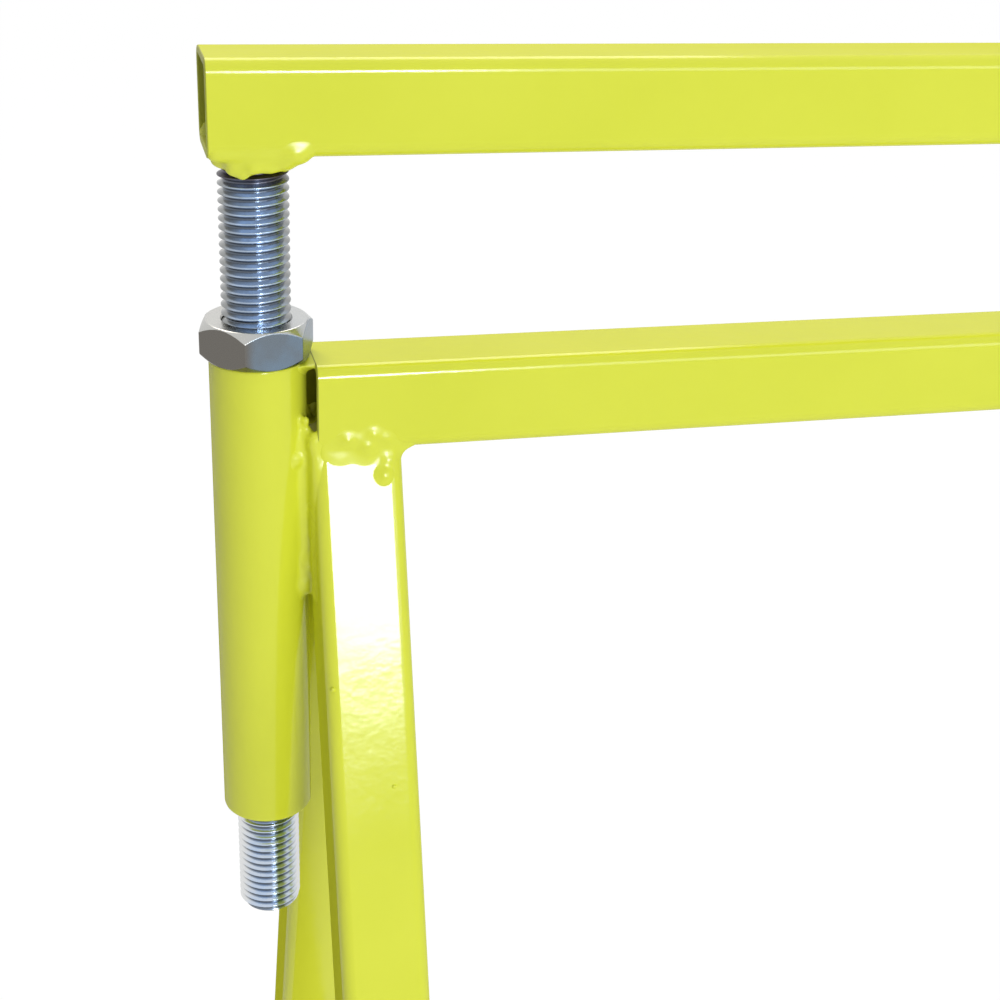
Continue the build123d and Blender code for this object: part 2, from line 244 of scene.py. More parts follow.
# %% Clouds of zinc plating
PATCH_EDGES = (0.35, 0.68)
GRAINS_PER_METRE = 2600.0


def make_zinc_clouds():
    """Patches where bright zinc turns bluish, and fine grain for its roughness."""
    group, ins, outs = new_group(
        "zinc_clouds",
        [("Place", "NodeSocketVector", (0, 0, 0)), ("Patches", "NodeSocketFloat", 140.0)],
        ["Tint", "Grain"],
    )
    place = ins.outputs["Place"]
    patches = noise(group, place, ins.outputs["Patches"], detail=3.0)
    feed(group, outs.inputs["Tint"], ramp(group, patches, *PATCH_EDGES, smooth=True))
    feed(group, outs.inputs["Grain"], noise(group, place, GRAINS_PER_METRE, detail=3.0, roughness=0.7))
    return group


zinc_clouds = make_zinc_clouds()
print(zinc_clouds.name, "has", len(zinc_clouds.nodes), "nodes")

# %% [markdown]
# ## The paint
# The stand is coated in glossy lime-yellow powder. One flat colour with one roughness would look like
# plastic, so both drift a little with the thickness of the film. Seen nearly edge-on, any gloss turns into
# a mirror, and in a white room that would bleach the sides of the legs, so Layer Weight lets the reflection
# fade there. On the welds the coat is thicker and softer, and inside the tubes, where the spray hardly
# reaches, it is a thin olive mist over the steel.

# %% Paint helpers
PAINT = (0.69, 0.72, 0.038)
PAINT_PALE = (0.72, 0.745, 0.046)
THIN_PAINT, THINNEST_PAINT = (0.46, 0.49, 0.02), (0.34, 0.35, 0.04)
GLOSS_FROM, GLOSS_TO = 0.25, 0.88
FILM_EDGES, THIN_FILM_EDGES = (0.2, 0.8), (0.35, 0.65)
THIN_COAT_DIMPLES = 500.0
THIN_COAT_PEEL = 0.03 * MM
THIN_COAT_ROUGH = 0.55


def new_material(name):
    """A material with its Principled shader and the Object coordinates that its patterns read."""
    material = bpy.data.materials.new(name)
    material.use_nodes = True
    tree = material.node_tree
    finishes[name] = material
    place = node(tree, "ShaderNodeTexCoord").outputs["Object"]
    return tree, tree.nodes["Principled BSDF"].inputs, place


def use_group(tree, group, place, **values):
    """Puts an effect into a material, with the material's own values."""
    made = node(tree, "ShaderNodeGroup", node_tree=group)
    for socket, value in {"Place": place, **values}.items():
        feed(tree, made.inputs[socket], value)
    return made.outputs


def bump(tree, height, shader, distance):
    """Raises the surface by a height, given in metres for a height of one."""
    made = node(tree, "ShaderNodeBump")
    for socket, value in (("Height", height), ("Distance", distance), ("Strength", 1.0)):
        feed(tree, made.inputs[socket], value)
    feed(tree, shader["Normal"], made.outputs["Normal"])


# %% Paints
def make_paint(name, gloss, dimples, peel, low_rough, high_rough):
    """Glossy lime powder coat, with its orange peel."""
    tree, shader, place = new_material(name)
    coat = use_group(tree, orange_peel, place, Dimples=dimples)
    share = ramp(tree, coat["Cloud"], *FILM_EDGES, smooth=True)
    feed(tree, shader["Base Color"], mix_colours(tree, share, PAINT, PAINT_PALE))
    feed(tree, shader["Roughness"], ramp(tree, share, 0.0, 1.0, low_rough, high_rough))
    facing = node(tree, "ShaderNodeLayerWeight").outputs["Facing"]
    faded = ramp(tree, facing, GLOSS_FROM, GLOSS_TO, gloss, 0.0, smooth=True)
    # The plain number is set first and stays as the socket's own value under the link.
    # The plain number stays behind the link, for an export that can't follow the fade.
    for level in (gloss, faded):
        feed(tree, shader["Specular IOR Level"], level)
    bump(tree, coat["Height"], shader, peel)


def make_thin_coat(name):
    """The olive mist of paint inside a tube."""
    tree, shader, place = new_material(name)
    coat = use_group(tree, orange_peel, place, Dimples=THIN_COAT_DIMPLES)
    share = ramp(tree, coat["Cloud"], *THIN_FILM_EDGES)
    feed(tree, shader["Base Color"], mix_colours(tree, share, THIN_PAINT, THINNEST_PAINT))
    feed(tree, shader["Roughness"], THIN_COAT_ROUGH)
    bump(tree, coat["Height"], shader, THIN_COAT_PEEL)


make_paint("lime_paint", gloss=0.42, dimples=330.0, peel=0.04 * MM, low_rough=0.12, high_rough=0.16)
make_paint("lime_paint_on_weld", gloss=0.55, dimples=260.0, peel=0.024 * MM, low_rough=0.24, high_rough=0.30)
make_thin_coat("thin_paint_inside")
print("paints:", sorted(finishes))

# %% [markdown]
# ## The zinc
# Rods and nuts are bright zinc plate, a metal whose colour is its reflection. A painted bluish reflection
# lies on one side of each. The nut's flats are darkened as painted shade, and its upper faces are freshly
# turned and lighter, partly as a painted highlight. A rod's lower end is lighter as a painted highlight,
# painted shade lies in its grooves, deeper near that end, and the heat of the weld has stained its top. This
# could be painted on a texture, but a thread is hard to unwrap. Here every mark is a mask, made from a
# point's height or from its distance to the rod's axis.

# %% Marks on a rod
rod_low, rod_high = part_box("left_threaded_rod")
ROD_AXIS = -(rod_low.x + rod_high.x) / 2
THREAD_DEPTH = 1.84 * MM
THREAD_ROOT = (rod_high.y - rod_low.y) / 2 - THREAD_DEPTH
# Painted highlight: the rod turns lighter towards its lower end.
TIP_LIGHT_FROM, TIP_LIGHT_TO = rod_low.z + 110 * MM, rod_low.z + 60 * MM
TIP_HIGHLIGHT_ZINC = (0.72, 0.73, 0.73)
# Painted shade in the thread's grooves, reaching higher up the flanks near the lower end.
GROOVE_SHADE = (0.11, 0.13, 0.16)
GROOVE_SHADE_DEPTH, TIP_GROOVE_SHADE_DEPTH = 0.35 * MM, 1.1 * MM
STAIN_FROM, STAIN_TO = top_low.z - 9.5 * MM, top_low.z - 5.5 * MM
STAIN = (0.085, 0.075, 0.095)
STAIN_ROUGH = 0.2
RAGGED_PER_METRE, RAGGED_BY = 260.0, 3.0 * MM
GRAIN_EDGES = (0.3, 0.7)
GRAIN_HEIGHT = 0.004 * MM
LEAST_TINT = 0.6


def groove_to_ridge(tree, spot, tip_light):
    """Mask that is 0 at the bottom of a thread's groove and 1 on its ridge."""
    aside = maths(tree, "SUBTRACT", maths(tree, "ABSOLUTE", spot["X"]), ROD_AXIS)
    squares = [maths(tree, "MULTIPLY", reach, reach) for reach in (aside, spot["Y"])]
    radius = maths(tree, "SQRT", maths(tree, "ADD", *squares))
    # The painted groove shade climbs higher towards the rod's lower end.
    ridge = ramp(tree, tip_light, 0.0, 1.0, THREAD_ROOT + GROOVE_SHADE_DEPTH, THREAD_ROOT + TIP_GROOVE_SHADE_DEPTH)
    return ramp(tree, radius, THREAD_ROOT, ridge, smooth=True)


def heat_stain(tree, place, spot):
    """Mask of the stain under a rod's weld, with a ragged edge."""
    ragged = maths(tree, "MULTIPLY", noise(tree, place, RAGGED_PER_METRE, detail=3.0), RAGGED_BY)
    return ramp(tree, maths(tree, "ADD", spot["Z"], ragged), STAIN_FROM, STAIN_TO, smooth=True)


# %% Zinc
def make_zinc(name, bright, sheen_colour, patches, low_rough, high_rough, painted_sheen_side, is_rod=False):
    """Zinc with a painted bluish reflection on one side; a rod adds painted groove shade, a painted lighter
    tip and its heat stain.
    """
    tree, shader, place = new_material(name)
    plate = use_group(tree, zinc_clouds, place, Patches=patches)
    split = node(tree, "ShaderNodeSeparateXYZ")
    feed(tree, split.inputs[0], place)
    spot = split.outputs
    # One side gets a painted bluish reflection, broken up by the plating's patches.
    axis, sheen_from, sheen_to = painted_sheen_side
    reach = maths(tree, "ABSOLUTE", spot[axis]) if axis == "X" else spot[axis]
    painted_sheen = ramp(tree, reach, sheen_from, sheen_to, smooth=True)
    share = maths(tree, "MULTIPLY", painted_sheen, ramp(tree, plate["Tint"], 0.0, 1.0, LEAST_TINT, 1.0))
    rough = ramp(tree, plate["Grain"], *GRAIN_EDGES, low_rough, high_rough)
    if is_rod:
        # Painted highlight on the rod's lower end.
        tip_light = ramp(tree, spot["Z"], TIP_LIGHT_FROM, TIP_LIGHT_TO, smooth=True)
        bright = mix_colours(tree, tip_light, bright, TIP_HIGHLIGHT_ZINC)
    colour = mix_colours(tree, share, bright, sheen_colour)
    if is_rod:
        # Painted shade: the thread is darker down in its grooves.
        colour = mix_colours(tree, groove_to_ridge(tree, spot, tip_light), GROOVE_SHADE, colour)
        stain = heat_stain(tree, place, spot)
        colour = mix_colours(tree, stain, colour, STAIN)
        rough = maths(tree, "ADD", rough, maths(tree, "MULTIPLY", stain, STAIN_ROUGH))
    feed(tree, shader["Base Color"], colour)
    feed(tree, shader["Roughness"], rough)
    feed(tree, shader["Metallic"], 1.0)
    bump(tree, plate["Grain"], shader, GRAIN_HEIGHT)


# Sides of the rod and of the nut that get the painted bluish reflection.
FRONT_SHEEN_SIDE = ("Y", -4.0 * MM, -11.0 * MM)
INNER_SHEEN_SIDE = ("X", 440.5 * MM, 436.0 * MM)
make_zinc(
    "zinc_thread", bright=(0.27, 0.28, 0.28), sheen_colour=(0.46, 0.58, 0.77), patches=160.0,
    low_rough=0.16, high_rough=0.24, painted_sheen_side=FRONT_SHEEN_SIDE, is_rod=True,
)
# The nut's flats are darkened as painted shade; its upward, turned faces are lighter, partly as a painted
# highlight.
make_zinc(
    "zinc_nut_shaded", bright=(0.155, 0.145, 0.13), sheen_colour=(0.175, 0.235, 0.30), patches=90.0,
    low_rough=0.24, high_rough=0.34, painted_sheen_side=INNER_SHEEN_SIDE,
)
make_zinc(
    "zinc_nut_turned_lit", bright=(0.52, 0.52, 0.50), sheen_colour=(0.49, 0.51, 0.52), patches=90.0,
    low_rough=0.20, high_rough=0.28, painted_sheen_side=INNER_SHEEN_SIDE,
)
print("finishes:", sorted(finishes))

# %% [markdown]
# ## Square tube
# The rails, legs and braces are square steel tube with rounded corners. A cube with a Solidify modifier
# would give the wall too, but not an inside with a finish of its own. Here one square face gets its corners
# rounded by a vertex bevel. An inset gives the wall, and extruding the ring that is left gives an open tube
# with real inner faces, which take the thin coat.

# %% Tube helpers
CORNER_STEPS = 8
PAINTED = ["lime_paint", "thin_paint_inside"]
INSIDE = 1
UPRIGHT_FACE = 0.5


def round_off(bm, geometry, offset, segments, affect):
    """Rounds edges or corners by a bevel."""
    bmesh.ops.bevel(
        bm, geom=geometry, offset=offset, offset_type="OFFSET",
        segments=segments, profile=0.5, affect=affect, material=-1,
    )


def pull(bm, faces, step):
    """Extrudes faces by a step and closes the shape behind them."""
    made = bmesh.ops.extrude_face_region(bm, geom=faces, use_keep_orig=True)
    moved = [item for item in made["geom"] if isinstance(item, bmesh.types.BMVert)]
    bmesh.ops.translate(bm, vec=step, verts=moved)
    bmesh.ops.recalc_face_normals(bm, faces=bm.faces[:])


def rounded_sheet(bm, length, width, corner):
    """A flat sheet on the XY plane with rounded corners."""
    bmesh.ops.create_grid(bm, x_segments=1, y_segments=1, size=0.5)
    bmesh.ops.scale(bm, vec=(length, width, 1), verts=bm.verts)
    round_off(bm, bm.verts[:], corner, CORNER_STEPS, "VERTICES")


def coat_inside(bm, axis_x=0.0):
    """Gives the thin coat to the faces that look towards an upright axis."""
    for face in bm.faces:
        centre = face.calc_center_median()
        arm = Vector((centre.x - axis_x, centre.y, 0))
        if face.normal.dot(arm) < 0 and abs(face.normal.z) < UPRIGHT_FACE:
            face.material_index = INSIDE


def square_tube(size, wall, corner, length):
    """An open tube that stands on the XY plane."""
    bm = bmesh.new()
    rounded_sheet(bm, size, size, corner)
    bmesh.ops.inset_region(bm, faces=bm.faces[:], thickness=wall, use_even_offset=True, use_boundary=True)
    hollow = max(bm.faces, key=lambda face: len(face.verts))
    bmesh.ops.delete(bm, geom=[hollow], context="FACES")
    pull(bm, bm.faces[:], (0, 0, length))
    coat_inside(bm)
    return bm


def lie_along(origin, x_axis, z_axis):
    """Matrix that lays a standing shape along a direction."""
    z_axis = Vector(z_axis).normalized()
    x_axis = Vector(x_axis).normalized()
    turn = Matrix((x_axis, z_axis.cross(x_axis), z_axis)).transposed().to_4x4()
    return Matrix.Translation(origin) @ turn


# %% [markdown]
# ## The two rails
# Both rails are a plain length of that tube, sawn square at its ends, and the paint rounds the saw's sharp
# edge. A Bevel modifier would soften every edge alike, so the script picks only the edges at the two ends
# and bevels those. The cut faces keep the thin coat, as paint draws back from a sharp edge.

# %% Rails
CUT_EDGE = 0.5 * MM
CUT_EDGE_STEPS = 3
SQUARE_EDGE = 1.0
END_FACE = 0.2


def soften_ends(bm, length):
    """Rounds the cut edges at both ends of a standing tube, as paint does."""
    rims = []
    for edge in bm.edges:
        heights = [vert.co.z for vert in edge.verts]
        at_end = max(heights) < MM or min(heights) > length - MM
        if at_end and edge.calc_face_angle(0.0) > SQUARE_EDGE:
            rims.append(edge)
    round_off(bm, rims, CUT_EDGE, CUT_EDGE_STEPS, "EDGES")
    for face in bm.faces:
        if abs(face.normal.z) > END_FACE:
            face.material_index = INSIDE


for name, body, low, high in (
    ("top_rail", "rail", top_low, top_high),
    ("lower_rail", "frame", rail_low, rail_high),
):
    bm = square_tube(TUBE, TUBE_WALL, TUBE_CORNER, high.x - low.x)
    soften_ends(bm, high.x - low.x)
    place = lie_along((low.x, 0, (low.z + high.z) / 2), Y, X)
    bmesh.ops.transform(bm, matrix=place, verts=bm.verts)
    piece = add_piece(bm, f"{name}_tube", body, PAINTED, [name])
    print(piece.name, len(piece.data.polygons), "faces")

# %% [markdown]
# ## The splayed legs
# Each leg is the same tube, leaning outwards. Its top is mitred twice, once against the rail's underside
# and once against the other leg of the pair, and its bottom is cut level. Boolean modifiers could take
# those corners off, but a plane cut does just what the saw does, and it leaves clean faces.

# %% Legs
LEG_SPARE = 2 * TUBE
CUT_TOLERANCE = 1e-7


def slice_off(bm, point, normal):
    """Removes what lies beyond a plane, and gives the edges of the cut."""
    made = bmesh.ops.bisect_plane(
        bm, geom=bm.verts[:] + bm.edges[:] + bm.faces[:], dist=CUT_TOLERANCE,
        plane_co=point, plane_no=normal, clear_outer=True,
    )
    return [item for item in made["geom_cut"] if isinstance(item, bmesh.types.BMEdge)]


def cut_off(bm, point, normal):
    """Removes what lies beyond a plane, and closes the cut."""
    rim = slice_off(bm, point, normal)
    bmesh.ops.triangle_fill(bm, edges=rim, use_beauty=True, normal=normal)


def leg_plane(side, end):
    """Where a leg's axis meets the rail's lower edge, the direction down the leg and the one out of it."""
    outward = Vector((0, ENDS[end] * math.cos(SPLAY), math.sin(SPLAY)))
    down = Vector((0, ENDS[end] * math.sin(SPLAY), -math.cos(SPLAY)))
    edge = Vector((middle(f"{end}_{side}_leg").x, ENDS[end] * TUBE / 2, RAIL_UNDER))
    return edge - outward * TUBE / 2, down, outward


for side in SIDES:
    for end in ENDS:
        origin, down, _ = leg_plane(side, end)
        run = (RAIL_UNDER - FOOT_TOP) / math.cos(SPLAY) + 2 * LEG_SPARE
        bm = square_tube(TUBE, TUBE_WALL, TUBE_CORNER, run)
        bmesh.ops.transform(bm, matrix=lie_along(origin - LEG_SPARE * down, X, down), verts=bm.verts)
        cut_off(bm, (0, 0, RAIL_UNDER), Z)
        cut_off(bm, (0, 0, 0), -ENDS[end] * Y)
        cut_off(bm, (0, 0, FOOT_TOP), -Z)
        piece = add_piece(bm, f"{end}_{side}_leg_tube", "frame", PAINTED, [f"{end}_{side}_leg"])
        print(piece.name, len(piece.data.polygons), "faces")

# %% [markdown]
# ## Cross braces
# A lighter tube joins each pair of legs and keeps them from spreading. Its ends lie flat on the sloping
# legs. Its length and its end angles could be worked out first. Instead the tube is made too long and sawn
# by the plane of each leg's inner face, so it fits whatever the splay is.

# %% Braces
BRACE_WALL = 2.0 * MM
BRACE_CORNER = 3.0 * MM

for side in SIDES:
    low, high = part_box(f"{side}_brace")
    centre = (low + high) / 2
    span = high.y - low.y + 2 * TUBE
    bm = square_tube(high.x - low.x, BRACE_WALL, BRACE_CORNER, span)
    place = lie_along((centre.x, -span / 2, centre.z), X, Y)
    bmesh.ops.transform(bm, matrix=place, verts=bm.verts)
    for end in ENDS:
        origin, _, outward = leg_plane(side, end)
        cut_off(bm, origin - outward * TUBE / 2, outward)
    piece = add_piece(bm, f"{side}_brace_tube", "frame", PAINTED, [f"{side}_brace"])
    print(piece.name, len(piece.data.polygons), "faces")

# %% [markdown]
# ## Foot plates
# Each leg stands on a square of steel plate with rounded corners. A scaled cube would do from far away, but
# its corners would be sharp. The plate starts as the same rounded sheet as the tube, is pulled up to its
# thickness, and its rims get the small rounding that paint leaves.

# %% Feet
FOOT_CORNER = 6.0 * MM
FOOT_EDGE = 0.7 * MM

for side in SIDES:
    for end in ENDS:
        foot = f"{end}_{side}_foot"
        low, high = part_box(foot)
        bm = bmesh.new()
        rounded_sheet(bm, high.x - low.x, high.y - low.y, FOOT_CORNER)
        pull(bm, bm.faces[:], (0, 0, high.z - low.z))
        rims = [edge for edge in bm.edges if edge.calc_face_angle(0.0) > SQUARE_EDGE]
        round_off(bm, rims, FOOT_EDGE, CUT_EDGE_STEPS, "EDGES")
        bmesh.ops.translate(bm, vec=((low.x + high.x) / 2, (low.y + high.y) / 2, low.z), verts=bm.verts)
        piece = add_piece(bm, f"{foot}_plate", "frame", "lime_paint", [foot])
        print(piece.name, len(piece.data.polygons), "faces")

# %% [markdown]
# ## The round sleeves
# A sleeve is a length of round pipe that guides a rod. It could be a cylinder with a second one cut out of
# it, but then its rims would have to be rounded afterwards. Here the section of the wall, a thin rectangle,
# gets its corners rounded first, and one spin about the rod's axis gives the pipe, its bore and its soft
# rims.

# %% Sleeves
SLEEVE_WALL = 3.2 * MM
SLEEVE_EDGE = 1.1 * MM
SLEEVE_EDGE_STEPS = 3
ROUND_STEPS = 96

for side in SIDES:
    low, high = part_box(f"{side}_sleeve")
    x, radius = (low.x + high.x) / 2, (high.x - low.x) / 2
    bm = bmesh.new()
    section = ((SLEEVE_WALL, low.z), (0, low.z), (0, high.z), (SLEEVE_WALL, high.z))
    corners = [bm.verts.new((x + radius - depth, 0, height)) for depth, height in section]
    bm.faces.new(corners)
    round_off(bm, corners, SLEEVE_EDGE, SLEEVE_EDGE_STEPS, "VERTICES")
    bmesh.ops.delete(bm, geom=bm.faces[:], context="FACES_ONLY")
    bmesh.ops.spin(
        bm, geom=bm.verts[:] + bm.edges[:], cent=(x, 0, 0), axis=(0, 0, 1), dvec=(0, 0, 0),
        angle=2 * math.pi, steps=ROUND_STEPS, use_merge=True, use_normal_flip=False, use_duplicate=False,
    )
    bmesh.ops.recalc_face_normals(bm, faces=bm.faces[:])
    coat_inside(bm, x)
    piece = add_piece(bm, f"{side}_sleeve_pipe", "frame", PAINTED, [f"{side}_sleeve"])
    print(piece.name, len(piece.data.polygons), "faces")

# %% [markdown]
# ## A thread
# A thread is a profile that climbs as it turns. Rings stacked on a rod would look right from afar, but they
# don't climb, and a Screw modifier leaves no mesh to cut. So one pitch of the profile is drawn, its corners
# are rounded as rolling leaves them, and a spin that also lifts makes one turn. The turn is copied one
# pitch higher, the pair two pitches higher and so on, which is much quicker than spinning a hundred turns.
# Neighbouring turns share their edges, so merging the doubles gives one skin.

# %% Thread helpers
PITCH = 3.0 * MM
CREST_WIDTH = PITCH / 8
ROOT_WIDTH = PITCH / 4
CREST_ROUND = 0.12 * MM
ROOT_ROUND = 0.28 * MM
THREAD_ROUND_STEPS = 2
STEPS_PER_TURN = 40
SPARE_TURNS = 3
SEAM_GAP = 0.002 * MM


def helix_skin(x, wall, tip, first, turns):
    """Skin of a right-hand thread whose ridges rise from the wall's radius to the tip's."""
    flank = (PITCH - CREST_WIDTH - ROOT_WIDTH) / 2
    bm = bmesh.new()
    outline = [
        (wall, 0),
        (wall, ROOT_WIDTH / 2),
        (tip, ROOT_WIDTH / 2 + flank),
        (tip, ROOT_WIDTH / 2 + flank + CREST_WIDTH),
        (wall, PITCH - ROOT_WIDTH / 2),
        (wall, PITCH),
    ]
    points = [bm.verts.new((x + radius, 0, first + height)) for radius, height in outline]
    for start, finish in zip(points, points[1:]):
        bm.edges.new((start, finish))
    for corners, rounding in (((points[1], points[4]), ROOT_ROUND), ((points[2], points[3]), CREST_ROUND)):
        round_off(bm, corners, rounding, THREAD_ROUND_STEPS, "VERTICES")
    bmesh.ops.spin(
        bm, geom=bm.verts[:] + bm.edges[:], cent=(x, 0, 0), axis=(0, 0, 1),
        dvec=(0, 0, PITCH / STEPS_PER_TURN), angle=2 * math.pi, steps=STEPS_PER_TURN,
        use_merge=False, use_normal_flip=False, use_duplicate=False,
    )
    made_turns = 1
    while made_turns < turns:
        made = bmesh.ops.duplicate(bm, geom=bm.verts[:] + bm.edges[:] + bm.faces[:])
        copies = [item for item in made["geom"] if isinstance(item, bmesh.types.BMVert)]
        bmesh.ops.translate(bm, vec=(0, 0, made_turns * PITCH), verts=copies)
        made_turns *= 2
    bmesh.ops.remove_doubles(bm, verts=bm.verts[:], dist=SEAM_GAP)
    return bm


def hold_back(bm, x, limit_at, outside):
    """Moves points to a radius that depends on their height, where they reach past it."""
    for vert in bm.verts:
        arm = Vector((vert.co.x - x, vert.co.y, 0))
        limit = limit_at(vert.co.z)
        past = arm.length > limit if outside else arm.length < limit
        if past:
            arm *= limit / arm.length
            vert.co = Vector((x + arm.x, arm.y, vert.co.z))


# %% [markdown]
# ## The threaded rods
# A rod is a length of threaded bar, sawn off and chamfered at its lower end so that it starts easily in the
# nut. Both ends are cut level and closed. The chamfer could be cut by planes, but holding back every point
# that reaches past a cone keeps the ridges whole and lets them fade out towards the tip.

# %% Rods
ROD_TIP_CHAMFER = 2.2 * MM

for side in SIDES:
    low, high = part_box(f"{side}_threaded_rod")
    x, radius = (low.x + high.x) / 2, (high.y - low.y) / 2
    turns = math.ceil((high.z - low.z) / PITCH) + SPARE_TURNS
    bm = helix_skin(x, radius - THREAD_DEPTH, radius, low.z - 2 * PITCH, turns)
    rims = [slice_off(bm, (0, 0, low.z), -Z), slice_off(bm, (0, 0, high.z), Z)]
    hold_back(bm, x, lambda height: radius - ROD_TIP_CHAMFER + (height - low.z), outside=True)
    for rim in rims:
        bmesh.ops.triangle_fill(bm, edges=rim, use_beauty=True)
    bmesh.ops.recalc_face_normals(bm, faces=bm.faces[:])
    name = f"{side}_rod_thread"
    piece = add_piece(bm, name, "rail", "zinc_thread", [f"{side}_threaded_rod"], weighted=False)
    print(piece.name, len(piece.data.polygons), "faces")

# %% [markdown]
# ## The nuts
# A nut is a hexagon bar whose corners are turned off at 45 degrees at both ends, which leaves the curved
# edges that catch the light. A cone could be subtracted by a Boolean, but many small plane cuts round the
# axis make the same cone with clean faces. A narrow bevel then rounds the arrises as tumbling does. The
# bore is a second threaded skin, whose ridges lie in the rod's grooves, opened out by a countersink at each
# end.

# %% Nut helpers
NUT_FACE_INSET = 0.4 * MM
CHAMFER_ANGLE = math.radians(45)
CHAMFER_CUTS = 48
NUT_ARRIS = 0.35 * MM
NUT_ARRIS_STEPS = 2
NUT_ARRIS_ANGLE = math.radians(25)
LEVEL_FACE = 0.99
THREAD_CLEARANCE = 0.25 * MM
COUNTERSINK = 0.4 * MM


def chamfered_hexagon(x, low, high, corner_radius, turn):
    """The sides and chamfers of a nut, without its two flat faces."""
    bm = bmesh.new()
    centre = Matrix.Translation((x, 0, (low + high) / 2))
    bmesh.ops.create_cone(
        bm, cap_ends=True, cap_tris=False, segments=6, radius1=corner_radius, radius2=corner_radius,
        depth=high - low, matrix=centre @ Matrix.Rotation(turn - math.pi / 2, 4, "Z"),
    )
    face_radius = corner_radius * math.cos(math.pi / 6) - NUT_FACE_INSET
    for cut in range(CHAMFER_CUTS):
        angle = 2 * math.pi * cut / CHAMFER_CUTS
        arm = Vector((math.cos(angle), math.sin(angle), 0))
        for height, up in ((low, -Z), (high, Z)):
            point = Vector((x, 0, height)) + arm * face_radius
            normal = arm * math.sin(CHAMFER_ANGLE) + up * math.cos(CHAMFER_ANGLE)
            bmesh.ops.holes_fill(bm, edges=slice_off(bm, point, normal), sides=0)
    bm.normal_update()
    arrises = [edge for edge in bm.edges if edge.calc_face_angle(0.0) > NUT_ARRIS_ANGLE]
    round_off(bm, arrises, NUT_ARRIS, NUT_ARRIS_STEPS, "EDGES")
    flats = [face for face in bm.faces if abs(face.normal.z) > LEVEL_FACE]
    bmesh.ops.delete(bm, geom=flats, context="FACES_ONLY")
    return bm


def threaded_bore(x, low, high, rod_foot, rod_radius):
    """A nut's inner thread, half a pitch above the rod's, with countersunk ends."""
    wall = rod_radius + THREAD_CLEARANCE
    tip = rod_radius - THREAD_DEPTH + THREAD_CLEARANCE
    turns = math.ceil((high - low) / PITCH) + SPARE_TURNS
    first = rod_foot - 2 * PITCH + PITCH / 2
    first += PITCH * math.floor((low - first) / PITCH - 1)
    bore = helix_skin(x, wall, tip, first, turns)
    slice_off(bore, (0, 0, low), -Z)
    slice_off(bore, (0, 0, high), Z)
    rim_radius = wall + COUNTERSINK / 2
    hold_back(bore, x, lambda height: rim_radius - min(height - low, high - height), outside=False)
    return bore


def join(bm, other):
    """Adds one bmesh to another."""
    carrier = bpy.data.meshes.new("carrier")
    other.to_mesh(carrier)
    other.free()
    bm.from_mesh(carrier)
    bpy.data.meshes.remove(carrier)


# %% Nuts
NUT_CORNER_ANGLE = {"left": math.radians(12.4), "right": math.radians(47.6)}
NUT_FINISHES = ["zinc_nut_shaded", "zinc_nut_turned_lit"]
TURNED_LIT = 1
TURNED_FACE = 0.3
RIM_TOLERANCE = 0.001 * MM

for side in SIDES:
    low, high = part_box(f"{side}_adjusting_nut")
    rod_low, rod_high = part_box(f"{side}_threaded_rod")
    x = (rod_low.x + rod_high.x) / 2
    # Both nuts have a corner this far from the X axis, each on its own side of it.
    corner_radius = min(high.x - x, x - low.x) / math.cos(NUT_CORNER_ANGLE["left"])
    bm = chamfered_hexagon(x, low.z, high.z, corner_radius, NUT_CORNER_ANGLE[side])
    join(bm, threaded_bore(x, low.z, high.z, rod_low.z, (rod_high.y - rod_low.y) / 2))
    for level in (low.z, high.z):
        rim = [
            edge for edge in bm.edges
            if edge.is_boundary and all(abs(vert.co.z - level) < RIM_TOLERANCE for vert in edge.verts)
        ]
        bmesh.ops.triangle_fill(bm, edges=rim, use_beauty=True)
    bmesh.ops.recalc_face_normals(bm, faces=bm.faces[:])
    # Upward faces take the lighter turned zinc, partly a painted highlight.
    for face in bm.faces:
        if face.normal.z > TURNED_FACE:
            face.material_index = TURNED_LIT
    stray = sum(edge.is_boundary for edge in bm.edges)
    name = f"{side}_nut_hexagon"
    piece = add_piece(bm, name, f"{side}_nut", NUT_FINISHES, [f"{side}_adjusting_nut"])
    print(piece.name, len(piece.data.polygons), "faces,", stray, "open edges")

# %% [markdown]
# ## How the welds are made
# A hand-laid weld is a row of puddles that froze one after the other, and a thick coat of paint rounds them
# off and runs out on to the tubes. Sculpting one by hand would be slow and could not be repeated. Here each
# weld is a chain of seeded, slightly uneven lenses along its seam, together with a thin lining that lies
# just under the skin of the tubes it joins. The Remesh modifier melts the two into one skin, and the Smooth
# modifier fills the hollow corners, as paint does. Most of the lining stays hidden in the tube walls, and
# the Decimate modifier thins what is left.

# %% Weld helpers
WELD_VOXEL = 0.6 * MM
WELD_FLOW = 24
WELD_KEPT_FACES = 0.35
LINING_DEPTH = 0.1 * MM
LINING_WALL = 2.0 * MM


def puddle(bm, place, reach):
    """A lens of weld metal, given its half sizes along X, Y and Z."""
    size = Matrix.Diagonal((*reach, 1))
    bmesh.ops.create_icosphere(bm, subdivisions=3, radius=1, matrix=Matrix.Translation(place) @ size)


def bead(bm, start, finish, reach, spacing, chance, wander=0.15, swell=0.12):
    """A row of puddles from one point to another, a little uneven in place and size."""
    start, finish, reach = Vector(start), Vector(finish), Vector(reach)
    count = max(1, round((finish - start).length / spacing))
    for step in range(count + 1):
        shift = Vector(chance.uniform(-1, 1) * wander * side for side in reach)
        grown = reach * (1 + chance.uniform(-1, 1) * swell)
        puddle(bm, start.lerp(finish, step / count) + shift, grown)


